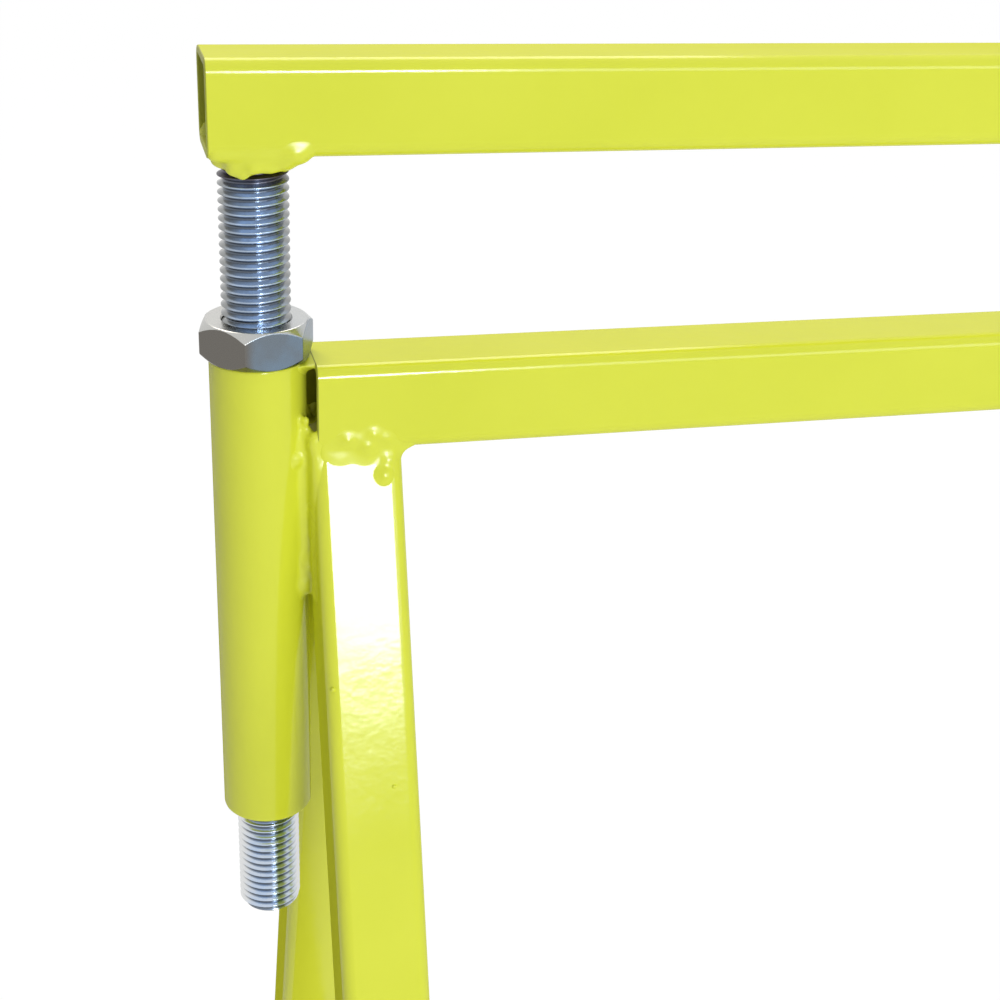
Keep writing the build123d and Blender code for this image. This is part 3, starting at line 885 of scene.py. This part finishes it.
def lay_lumps(bm, lumps, x, z, along_way, out_way):
    """Single puddles, each given by its steps along X, out along Y and up from a seam, and its half sizes."""
    for along, out, rise, reach in lumps:
        place = (x + along_way * along * MM, out_way * out * MM, z + rise * MM)
        puddle(bm, place, Vector(reach) * MM)


def tube_lining(bm, place, length, cuts):
    """Lining of a square tube that stands on the XY plane before it is placed, trimmed by planes."""
    lining = square_tube(TUBE - 2 * LINING_DEPTH, LINING_WALL, TUBE_CORNER, length)
    bmesh.ops.transform(lining, matrix=place, verts=lining.verts)
    for point, normal in cuts:
        cut_off(lining, point, normal)
    join(bm, lining)


def add_weld(bm, name, body, stands_for, flow_steps=WELD_FLOW):
    """Melts the puddles and the lining of a weld into one painted piece."""
    for face in bm.faces:
        face.material_index = 0
    piece = add_piece(bm, name, body, "lime_paint_on_weld", stands_for, weighted=False)
    melt = piece.modifiers.new("melt", "REMESH")
    melt.mode = "VOXEL"
    melt.voxel_size = WELD_VOXEL
    melt.use_smooth_shade = True
    flow = piece.modifiers.new("flow", "SMOOTH")
    flow.factor = 1.0
    flow.iterations = flow_steps
    thin = piece.modifiers.new("thin", "DECIMATE")
    thin.ratio = WELD_KEPT_FACES
    print(piece.name, len(piece.data.polygons), "faces before it melts")


# %% [markdown]
# ## Welds that hang the rods from the top rail
# Each rod ends in the underside of the top rail. A collar of weld runs round it, with drips that hang from
# its lower edge, and a flat bead fills the groove on both sides between the rod and the rail's round
# corner. A few single lumps show where the welder stopped. A ring of drips alone would leave gaps, so a
# plain cone makes the collar's body and gives the drips something to melt into. Lengths in the tables are
# millimetres.

# %% Parts of a rod weld
LINING_INSET = 0.4 * MM
ROD_WELD_LINING = 46 * MM
COLLAR_DEPTH, COLLAR_RISE = 5.2 * MM, 0.8 * MM
COLLAR_FOOT, COLLAR_HEAD = 0.5 * MM, 3.9 * MM
COLLAR_STEPS = 48
DRIPS = 11
DRIP_SHIFT = 0.25
DRIP_FALL, DRIP_REACH = (2.2, 3.4), (1.9, 2.5)
DRIP_SPREAD = 1.6
GROOVE_OUT, GROOVE_RISE = 13.2 * MM, 2.4 * MM
GROOVE_OUTER, GROOVE_INNER = 13.2, 14
GROOVE_BEAD = (3.4 * MM, 2.7 * MM, 3.8 * MM)
GROOVE_SPACING = 2.2 * MM
ROD_WELD_LUMPS = (
    (12.6, 13.2, 1.8, (6.2, 3.9, 4.4)),
    (9.4, 11.4, -1.4, (4.2, 4.2, 3.4)),
    (16.2, 13.9, 3.4, (2.4, 2.9, 2.2)),
    (10.2, 13.6, 2.2, (2.8, 3.1, 2.2)),
    (-4.4, 11.2, -5.4, (2.4, 2.4, 2.6)),
    (-7.4, 10.0, -4.4, (2.8, 2.6, 2.4)),
    (9.6, 8.0, -4.2, (2.4, 2.4, 2.0)),
)


def rail_lining(bm, rail, sign, inset, length, lower_half):
    """Lining of one end of a rail, whole or only its lower half."""
    low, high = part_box(rail)
    rail_end = low.x if sign < 0 else high.x
    half_up = Vector((0, 0, middle(rail).z))
    start = Vector((rail_end - sign * inset, 0, half_up.z))
    tube_lining(bm, lie_along(start, Y, -sign * X), length, [(half_up, Z)] if lower_half else [])


def weld_collar(bm, x, radius, chance):
    """The collar of a rod's weld with its drips."""
    place = Matrix.Translation((x, 0, top_low.z + (COLLAR_RISE - COLLAR_DEPTH) / 2))
    bmesh.ops.create_cone(
        bm, cap_ends=True, segments=COLLAR_STEPS, radius1=radius + COLLAR_FOOT, radius2=radius + COLLAR_HEAD,
        depth=COLLAR_DEPTH + COLLAR_RISE, matrix=place,
    )
    for step in range(DRIPS):
        angle = 2 * math.pi * (step + chance.uniform(-DRIP_SHIFT, DRIP_SHIFT)) / DRIPS
        arm = Vector((math.cos(angle), math.sin(angle), 0)) * radius
        fall = chance.uniform(*DRIP_FALL) * MM
        reach = chance.uniform(*DRIP_REACH) * MM
        spread = DRIP_SPREAD * reach
        puddle(bm, Vector((x, 0, top_low.z - fall)) + arm, (spread, spread, reach))


# %% Rod welds
for side, sign in SIDES.items():
    chance = random.Random(f"{side} rod weld")
    low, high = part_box(f"{side}_threaded_rod")
    x, radius = (low.x + high.x) / 2, (high.y - low.y) / 2
    bm = bmesh.new()
    rail_lining(bm, "top_rail", sign, LINING_INSET, ROD_WELD_LINING, lower_half=True)
    weld_collar(bm, x, radius, chance)
    for way in ENDS.values():
        groove = Vector((x, way * GROOVE_OUT, top_low.z + GROOVE_RISE))
        outer, inner = groove + sign * X * GROOVE_OUTER * MM, groove - sign * X * GROOVE_INNER * MM
        bead(bm, outer, inner, GROOVE_BEAD, GROOVE_SPACING, chance, wander=0.03, swell=0.04)
        lay_lumps(bm, ROD_WELD_LUMPS, x, top_low.z, -sign, way)
    add_weld(bm, f"{side}_rod_weld_bead", "rail", [f"{side}_rod_weld"])

# %% [markdown]
# ## Welds between the legs and the lower rail
# On the front and the back, two rows of wide flat puddles fill the seam between the rail's round edge and
# the leg, and single lumps lie on top of them. On the inner side a hollow fillet runs under the rail: its
# section is drawn as an arc and pulled along the seam, because a row of balls would bulge there. Two thin
# beads close the notch where the legs of a pair meet.

# %% Parts of a leg weld
LEG_WELD_LINING = 60 * MM
LEG_RAIL_LINING = 48 * MM
SEAM_ROWS = ((3.4, 14.1, 2.1, 5.2), (-1.4, 14.6, 2.2, 4.4))
SEAM_OUTER, SEAM_INNER = 4.0 * MM, 4.2 * MM
SEAM_LENGTH = 3.6 * MM
SEAM_SPACING = 2.4 * MM
SEAM_LUMPS = (
    (18.5, 14.4, 4.0, (8.8, 2.4, 4.6)),
    (12.3, 15.2, 5.0, (3.3, 2.3, 2.7)),
    (21.6, 15.2, 6.5, (3.2, 2.3, 2.6)),
    (19.4, 15.6, 2.0, (3.3, 2.4, 2.8)),
    (25.5, 15.0, 4.4, (2.8, 2.3, 2.5)),
    (9.5, 15.5, -3.2, (6.6, 1.9, 3.6)),
    (18.2, 15.6, -3.5, (6.8, 1.9, 3.9)),
    (26.8, 15.9, -3.6, (3.4, 2.4, 2.6)),
    (25.2, 17.2, -8.8, (3.8, 3.4, 3.8)),
)
INNER_FILLET, FILLET_INSET = 4.4 * MM, 1.0 * MM
FILLET_STEPS = 6
NOTCH_RISE = 2.5 * MM
NOTCH_BEADS = ((1.9 * MM, 2.6 * MM, 2.4 * MM), (2.4 * MM, 2.4 * MM, 2.2 * MM))


def leg_lining(bm, side, end, drop, cuts):
    """Lining of the top of a leg, down to a height below the lower rail."""
    origin, down, _ = leg_plane(side, end)
    top = (Vector((0, 0, RAIL_UNDER - LINING_DEPTH)), Z)
    inner = (Vector((0, ENDS[end] * LINING_DEPTH, 0)), -ENDS[end] * Y)
    bottom = (Vector((0, 0, RAIL_UNDER - drop)), -Z)
    place = lie_along(origin - LEG_SPARE * down, X, down)
    tube_lining(bm, place, drop / math.cos(SPLAY) + 3 * TUBE, [top, inner, bottom] + cuts)


def corner_fillet(bm, corner, away, reach, half_width):
    """A hollow fillet under a corner, which runs along Y and reaches away from a leg."""
    outline = [Vector((-away * MM, 0, MM)), Vector((away * reach, 0, MM))]
    for step in range(FILLET_STEPS + 1):
        angle = math.pi / 2 * step / FILLET_STEPS
        outline.append(Vector((away * reach * (1 - math.sin(angle)), 0, -reach * (1 - math.cos(angle)))))
    outline.append(Vector((-away * MM, 0, -reach)))
    wedge = bmesh.new()
    section = wedge.faces.new([wedge.verts.new(corner + point - Y * half_width) for point in outline])
    pull(wedge, [section], 2 * half_width * Y)
    join(bm, wedge)


# %% Leg welds
for side, sign in SIDES.items():
    chance = random.Random(f"{side} leg weld")
    low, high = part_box(f"front_{side}_leg")
    outer, inner = (high.x, low.x) if sign > 0 else (low.x, high.x)
    bm = bmesh.new()
    rail_lining(bm, "lower_rail", sign, LINING_INSET, LEG_RAIL_LINING, lower_half=True)
    for end, way in ENDS.items():
        leg_lining(bm, side, end, LEG_WELD_LINING, [])
        for rise, out, depth, reach in SEAM_ROWS:
            seam = Vector((0, way * out * MM, RAIL_UNDER + rise * MM))
            start, finish = seam + X * (outer - sign * SEAM_OUTER), seam + X * (inner + sign * SEAM_INNER)
            sizes = (SEAM_LENGTH, depth * MM, reach * MM)
            bead(bm, start, finish, sizes, SEAM_SPACING, chance, wander=0.05, swell=0.06)
        lay_lumps(bm, SEAM_LUMPS, outer, RAIL_UNDER, -sign, way)
    corner_fillet(bm, Vector((inner, 0, RAIL_UNDER)), -sign, INNER_FILLET, TUBE / 2 - FILLET_INSET)
    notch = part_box(f"{side}_leg_weld")[0].z + NOTCH_RISE
    turns = ((inner, 0, RAIL_UNDER), (inner, 0, notch), (outer, 0, notch))
    for start, finish, reach in zip(turns, turns[1:], NOTCH_BEADS):
        bead(bm, start, finish, reach, SEAM_SPACING, chance)
    add_weld(bm, f"{side}_leg_weld_bead", "frame", [f"{side}_leg_weld"])

# %% [markdown]
# ## Welds between the sleeves, the legs and the lower rail
# The sleeve stands a little off the end of the rail and against the side of the legs. A bridge of weld
# closes the gap at the top, thick in the middle and thin at its ends, and an uneven bead climbs each leg.
# The bead could be one row, but two rows beside each other and a wide one on the slope give the flat,
# ragged strip that a welder leaves in such a corner.

# %% Parts of a sleeve weld
SLEEVE_LINING = 4 * MM
SLEEVE_LINING_BACK = 4 * MM
SLEEVE_RAIL_LINING = 14 * MM
SLEEVE_LEG_LINING = 12 * MM
BRIDGE_STEPS = 13
BRIDGE_REACH = 10.0 * MM
BRIDGE_THICK, BRIDGE_THINNER = 2.6, 2.1
BRIDGE_GRIP, BRIDGE_WIDTH = 1.6 * MM, 2.2 * MM
SLEEVE_SEAMS = ((4.2, 10.2, 1.8, 2.4), (1.6, 9.8, 2.8, 5.2))
SLEEVE_SEAM_FOOT = (4.5, 8.0)
SLEEVE_SEAM_WIDTH, SLEEVE_SEAM_HEIGHT = 2.6 * MM, 4.2 * MM
SLOPE_INSET = 1.3 * MM
SLOPE_FOOT, SLOPE_HEAD = (19.0 * MM, 8 * MM), (12.0 * MM, 2 * MM)
SLOPE_BEAD = (2.7 * MM, 4.6 * MM, 4.6 * MM)
SLEEVE_LUMPS = (
    (-0.7, 13.7, 3.2, (2.7, 2.8, 5.2)),
    (1.9, 11.6, 11.4, (1.9, 2.0, 2.2)),
    (5.6, 11.9, -3.4, (2.5, 2.3, 2.7)),
    (1.6, 11.6, -44.0, (2.8, 2.6, 4.4)),
    (3.0, 11.2, -53.0, (3.0, 2.4, 3.8)),
)


def pipe_lining(bm, axis_x, radius, low, high, sign):
    """Lining of the half of a sleeve that looks to the legs."""
    lining = bmesh.new()
    bmesh.ops.create_circle(lining, cap_ends=False, segments=ROUND_STEPS, radius=radius - LINING_DEPTH)
    bmesh.ops.translate(lining, vec=(axis_x, 0, low), verts=lining.verts)
    wall = bmesh.ops.extrude_edge_only(lining, edges=lining.edges[:])
    raised = [item for item in wall["geom"] if isinstance(item, bmesh.types.BMVert)]
    bmesh.ops.translate(lining, vec=(0, 0, high - low), verts=raised)
    bmesh.ops.recalc_face_normals(lining, faces=lining.faces[:])
    bmesh.ops.solidify(lining, geom=lining.faces[:], thickness=LINING_WALL)
    cut_off(lining, (axis_x - sign * SLEEVE_LINING_BACK, 0, 0), sign * X)
    join(bm, lining)


def weld_bridge(bm, axis_x, radius, rail_end, top, sign):
    """Puddles that close the gap between a sleeve and the end of the lower rail."""
    for step in range(BRIDGE_STEPS):
        share = 2 * step / (BRIDGE_STEPS - 1) - 1
        out = share * BRIDGE_REACH
        pipe_face = axis_x - sign * math.sqrt(radius**2 - out**2)
        thick = (BRIDGE_THICK - BRIDGE_THINNER * share * share) * MM
        place = Vector(((pipe_face + rail_end) / 2, out, top - thick))
        puddle(bm, place, (abs(rail_end - pipe_face) / 2 + BRIDGE_GRIP, BRIDGE_WIDTH, thick))


# %% Sleeve welds
for side, sign in SIDES.items():
    chance = random.Random(f"{side} sleeve weld")
    weld_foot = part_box(f"{side}_sleeve_weld")[0].z
    leg_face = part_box(f"front_{side}_leg")[0 if sign < 0 else 1].x
    rail_end = rail_low.x if sign < 0 else rail_high.x
    low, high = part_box(f"{side}_sleeve")
    axis_x, radius = middle(f"{side}_sleeve").x, (high.y - low.y) / 2
    top = rail_high.z - LINING_DEPTH
    bm = bmesh.new()
    pipe_lining(bm, axis_x, radius, weld_foot - SLEEVE_LINING, top, sign)
    rail_lining(bm, "lower_rail", sign, LINING_DEPTH, SLEEVE_RAIL_LINING, lower_half=False)
    weld_bridge(bm, axis_x, radius, rail_end, top, sign)
    far = (Vector((leg_face - sign * SLEEVE_LEG_LINING, 0, 0)), -sign * X)
    for end, way in ENDS.items():
        leg_lining(bm, side, end, RAIL_UNDER - weld_foot + SLEEVE_LINING, [far])
        for aside, out, reach, rise in SLEEVE_SEAMS:
            seam = Vector((leg_face + sign * aside * MM, way * out * MM, 0))
            foot = seam + Z * (weld_foot + chance.uniform(*SLEEVE_SEAM_FOOT) * MM)
            head = seam + Z * (RAIL_UNDER + rise * MM)
            sizes = (SLEEVE_SEAM_WIDTH, reach * MM, SLEEVE_SEAM_HEIGHT)
            bead(bm, foot, head, sizes, SEAM_SPACING, chance, wander=0.04, swell=0.05)
        slope = Vector((leg_face - sign * SLOPE_INSET, 0, 0))
        foot = slope + Vector((0, way * SLOPE_FOOT[0], weld_foot + SLOPE_FOOT[1]))
        head = slope + Vector((0, way * SLOPE_HEAD[0], RAIL_UNDER + SLOPE_HEAD[1]))
        bead(bm, foot, head, SLOPE_BEAD, SEAM_SPACING, chance, wander=0.03, swell=0.04)
        lay_lumps(bm, SLEEVE_LUMPS, leg_face, RAIL_UNDER, sign, way)
    add_weld(bm, f"{side}_sleeve_weld_bead", "frame", [f"{side}_sleeve_weld"])

# %% [markdown]
# ## Spatter
# Drops of hot metal fly off a weld and stick to the steel nearby, and the paint covers them. A bump texture
# would leave the outline smooth, and the melted skin can't hold anything so small. So they are plain little
# balls, half sunk into the legs.

# %% Spatter beside the welds
LEG_SPECKS = ((2.3, 78.8, 0.8), (22.3, 114.0, 0.9))
SIDE_SPECKS = ((28.7, 16.4, 0.9), (52.5, 15.2, 0.7))
SPECK_SUNK = 0.3
SIDE_SPECK_OUT = 0.2 * MM

for side, sign in SIDES.items():
    low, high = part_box(f"front_{side}_leg")
    outer = high.x if sign > 0 else low.x
    weld_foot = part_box(f"{side}_sleeve_weld")[0].z
    bm = bmesh.new()
    for along, drop, size in LEG_SPECKS:
        out = -TUBE / 2 - drop * MM * math.tan(SPLAY)
        speck = Vector((outer - sign * along * MM, out + SPECK_SUNK * size * MM, RAIL_UNDER - drop * MM))
        puddle(bm, speck, [size * MM] * 3)
    for rise, out, size in SIDE_SPECKS:
        speck = (outer + sign * SIDE_SPECK_OUT, -out * MM, weld_foot + rise * MM)
        puddle(bm, speck, [size * MM] * 3)
    piece = add_piece(bm, f"{side}_weld_spatter", "frame", "lime_paint_on_weld", weighted=False)
    print(piece.name, len(piece.data.polygons), "faces")

# %% [markdown]
# ## Welds round the braces and the feet
# The braces and the foot plates are held by a bead that runs once round the tube. A torus would be too
# even, so the bead is four rows of puddles, laid along the sides of the seam. It flows less than the big
# welds, because a thin bead would melt away.

# %% Ring welds
BRACE_BEAD = 2.0 * MM
FOOT_BEAD = 2.4 * MM
FOOT_BEAD_RISE = 0.4 * MM
RING_SPACING = 1.1
RING_FLOW = 5


def ring_bead(bm, centre, along, across, half_along, half_across, size, chance):
    """A bead round a tube, given the two directions of its seam and its half sizes."""
    corners = [
        centre + along * half_along * a + across * half_across * b
        for a, b in ((-1, -1), (1, -1), (1, 1), (-1, 1))
    ]
    for start, finish in zip(corners, corners[1:] + corners[:1]):
        bead(bm, start, finish, (size, size, size), RING_SPACING * size, chance)


for side in SIDES:
    chance = random.Random(f"{side} brace weld")
    low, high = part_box(f"{side}_brace")
    half = (high.x - low.x) / 2
    bm = bmesh.new()
    for end in ENDS:
        origin, down, outward = leg_plane(side, end)
        seat = origin - outward * TUBE / 2
        seat += down * ((low.z + high.z) / 2 - seat.z) / down.z
        ring_bead(bm, seat, X, down, half, half / math.cos(SPLAY), BRACE_BEAD, chance)
    add_weld(bm, f"{side}_brace_weld_bead", "frame", [f"{side}_brace_weld"], RING_FLOW)
    for end in ENDS:
        weld = f"{end}_{side}_foot_weld"
        bm = bmesh.new()
        seat = middle(weld)
        seat.z = FOOT_TOP + FOOT_BEAD_RISE
        ring_bead(bm, seat, X, Y, TUBE / 2, TUBE / 2 / math.cos(SPLAY), FOOT_BEAD, chance)
        add_weld(bm, f"{weld}_bead", "frame", [weld], RING_FLOW)

# %% [markdown]
# ## The floor
# The photograph is a bright cut-out on white. A very strong lamp could bleach the floor, but it would
# bleach the stand too. So the floor stays a plain pale floor for the light that falls on it. Only what the
# camera and the reflections see of it turns white, which Light Path tells apart: a little near the stand,
# where its shadow has to stay, and nearly all the way further out.

# %% Floor helpers
FLOOR_SIZE = 16.0
FLOOR_COLOUR = (0.74, 0.74, 0.74)
WHITE_STRENGTH = 1.02
WHITE_NEAR, WHITE_FAR = 0.45, 0.97
FADE_FROM, FADE_TO = -0.22, 0.06


def seen_rays(tree):
    """1 for rays from the camera, a reflection or a glass, and 0 for those that only carry light."""
    light = node(tree, "ShaderNodeLightPath").outputs
    seen = maths(tree, "ADD", light["Is Camera Ray"], light["Is Glossy Ray"])
    return maths(tree, "ADD", seen, light["Is Transmission Ray"])


def mix_to_output(tree, share, first, second, output):
    """Mixes two shaders and shows them as the surface."""
    both = node(tree, "ShaderNodeMixShader")
    for socket, value in zip(both.inputs, (share, first.outputs[0], second.outputs[0])):
        feed(tree, socket, value)
    feed(tree, tree.nodes[output].inputs["Surface"], both.outputs[0])


def beyond_stand(tree):
    """How far a point of the floor lies outside the stand's box."""
    place = node(tree, "ShaderNodeSeparateXYZ")
    feed(tree, place.inputs[0], node(tree, "ShaderNodeTexCoord").outputs["Object"])
    past = [
        maths(tree, "SUBTRACT", maths(tree, "ABSOLUTE", place.outputs[axis]), half)
        for axis, half in zip("XY", cad_bounds[1])
    ]
    return maths(tree, "MAXIMUM", *past)


def pale_floor():
    """The floor's material."""
    material = bpy.data.materials.new("pale_floor")
    material.use_nodes = True
    tree = material.node_tree
    tree.nodes.remove(tree.nodes["Principled BSDF"])
    matt = node(tree, "ShaderNodeBsdfDiffuse")
    feed(tree, matt.inputs["Color"], FLOOR_COLOUR)
    white = node(tree, "ShaderNodeEmission")
    feed(tree, white.inputs["Strength"], WHITE_STRENGTH)
    whiteness = ramp(tree, beyond_stand(tree), FADE_FROM, FADE_TO, WHITE_NEAR, WHITE_FAR, smooth=True)
    share = maths(tree, "MULTIPLY", seen_rays(tree), whiteness)
    mix_to_output(tree, share, matt, white, "Material Output")
    return material


# %% Floor
bm = bmesh.new()
bmesh.ops.create_grid(bm, x_segments=1, y_segments=1, size=FLOOR_SIZE / 2)
mesh = bpy.data.meshes.new("floor")
bm.to_mesh(mesh)
bm.free()
mesh.materials.append(pale_floor())
floor = bpy.data.objects.new("floor", mesh)
bpy.context.scene.collection.objects.link(floor)
print("floor", FLOOR_SIZE, "m wide")

# %% [markdown]
# ## The camera
# The photograph was taken from close by, a little above the rails and to the left of the stand's end. The
# camera's place could be found by eye, but these numbers were fitted to the edges of the rails, the sleeve
# and the legs. The three turns are applied one after the other, as on a tripod head, so each keeps its
# meaning.

# %% Camera
CAMERA_PLACE = (-0.49097, -0.54627, 0.87707)
CAMERA_YAW = math.radians(15.036)
CAMERA_PITCH = math.radians(24.630)
CAMERA_ROLL = math.radians(2.411)
CAMERA_LENS = 59.375
CAMERA_SENSOR = 36.0
CAMERA_NEAR = 0.01

camera = bpy.data.objects.new("camera", bpy.data.cameras.new("camera"))
camera.data.lens = CAMERA_LENS
camera.data.sensor_width = CAMERA_SENSOR
camera.data.clip_start = CAMERA_NEAR
camera.matrix_world = (
    Matrix.Translation(CAMERA_PLACE)
    @ Matrix.Rotation(-CAMERA_YAW, 4, "Z")
    @ Matrix.Rotation(math.pi / 2 - CAMERA_PITCH, 4, "X")
    @ Matrix.Rotation(CAMERA_ROLL, 4, "Z")
)
bpy.context.scene.collection.objects.link(camera)
bpy.context.scene.camera = camera
print("camera", [round(value, 3) for value in CAMERA_PLACE], "lens", CAMERA_LENS)

# %% [markdown]
# ## Lamps
# Gloss shows what it faces, so each lamp is placed by its reflection. A small bright window in front of the
# stand, low and a little to the right, is the white glare on the front leg. A long low softbox beside it
# draws the thin bright lines along the rails' upper edges, and a warm one behind lights the tops of the
# rails. Point lamps would give hard dots instead, so all three are area lamps.

# %% Area lamps
LEG_GLARE = Vector((-0.401, -0.04, 0.58))
COOL, WARM = (0.90, 0.95, 1.0), (1.0, 0.93, 0.84)
LAMPS = (
    ("front_window", (9, 15.4, 2.2), (0.38, 0.50), 20.0, COOL),
    ("long_softbox", (22, 15, 2.6), (1.9, 0.85), 17.0, COOL),
    ("back_softbox", (180, 55, 2.8), (2.4, 1.6), 47.0, WARM),
)


def towards(azimuth, elevation, distance):
    """A step from the stand, given in degrees to the right of the front and degrees up."""
    azimuth, elevation = math.radians(azimuth), math.radians(elevation)
    flat = math.cos(elevation) * distance
    return Vector((math.sin(azimuth) * flat, -math.cos(azimuth) * flat, math.sin(elevation) * distance))


for name, direction, size, power, colour in LAMPS:
    data = bpy.data.lights.new(name, "AREA")
    data.shape = "RECTANGLE"
    data.size, data.size_y = size
    data.energy = power
    data.color = colour
    lamp = bpy.data.objects.new(name, data)
    lamp.location = LEG_GLARE + towards(*direction)
    lamp.rotation_euler = (LEG_GLARE - lamp.location).to_track_quat("-Z", "Y").to_euler()
    bpy.context.scene.collection.objects.link(lamp)
    print(name, power, "W")

# %% [markdown]
# ## The room
# A studio fills the shadows with light from its pale ceiling and little from its walls. A sky picture could
# do that, but a ramp on the height of the ray is enough: it rises slowly, so most light comes from
# overhead. As on the floor, the camera and the reflections see plain white instead.

# %% Room
ROOM_COLOUR, WHITE = (0.95, 0.97, 1.0), (1, 1, 1)
ROOM_TOP, ROOM_SIDE, ROOM_SEEN = 1.1, 0.10, 1.0

world = bpy.data.worlds.new("room")
world.use_nodes = True
tree = world.node_tree
height = node(tree, "ShaderNodeSeparateXYZ")
feed(tree, height.inputs[0], node(tree, "ShaderNodeTexCoord").outputs["Generated"])
up = ramp(tree, height.outputs["Z"], 0.0, 1.0)
cubed = maths(tree, "MULTIPLY", up, maths(tree, "MULTIPLY", up, up))
room = tree.nodes["Background"]
feed(tree, room.inputs["Color"], ROOM_COLOUR)
feed(tree, room.inputs["Strength"], ramp(tree, cubed, 0.0, 1.0, ROOM_SIDE, ROOM_TOP))
backdrop = node(tree, "ShaderNodeBackground")
feed(tree, backdrop.inputs["Color"], WHITE)
feed(tree, backdrop.inputs["Strength"], ROOM_SEEN)
mix_to_output(tree, seen_rays(tree), room, backdrop, "World Output")
bpy.context.scene.world = world
bpy.context.scene.view_settings.view_transform = "Standard"
print("room", ROOM_SIDE, "at the sides,", ROOM_TOP, "overhead")
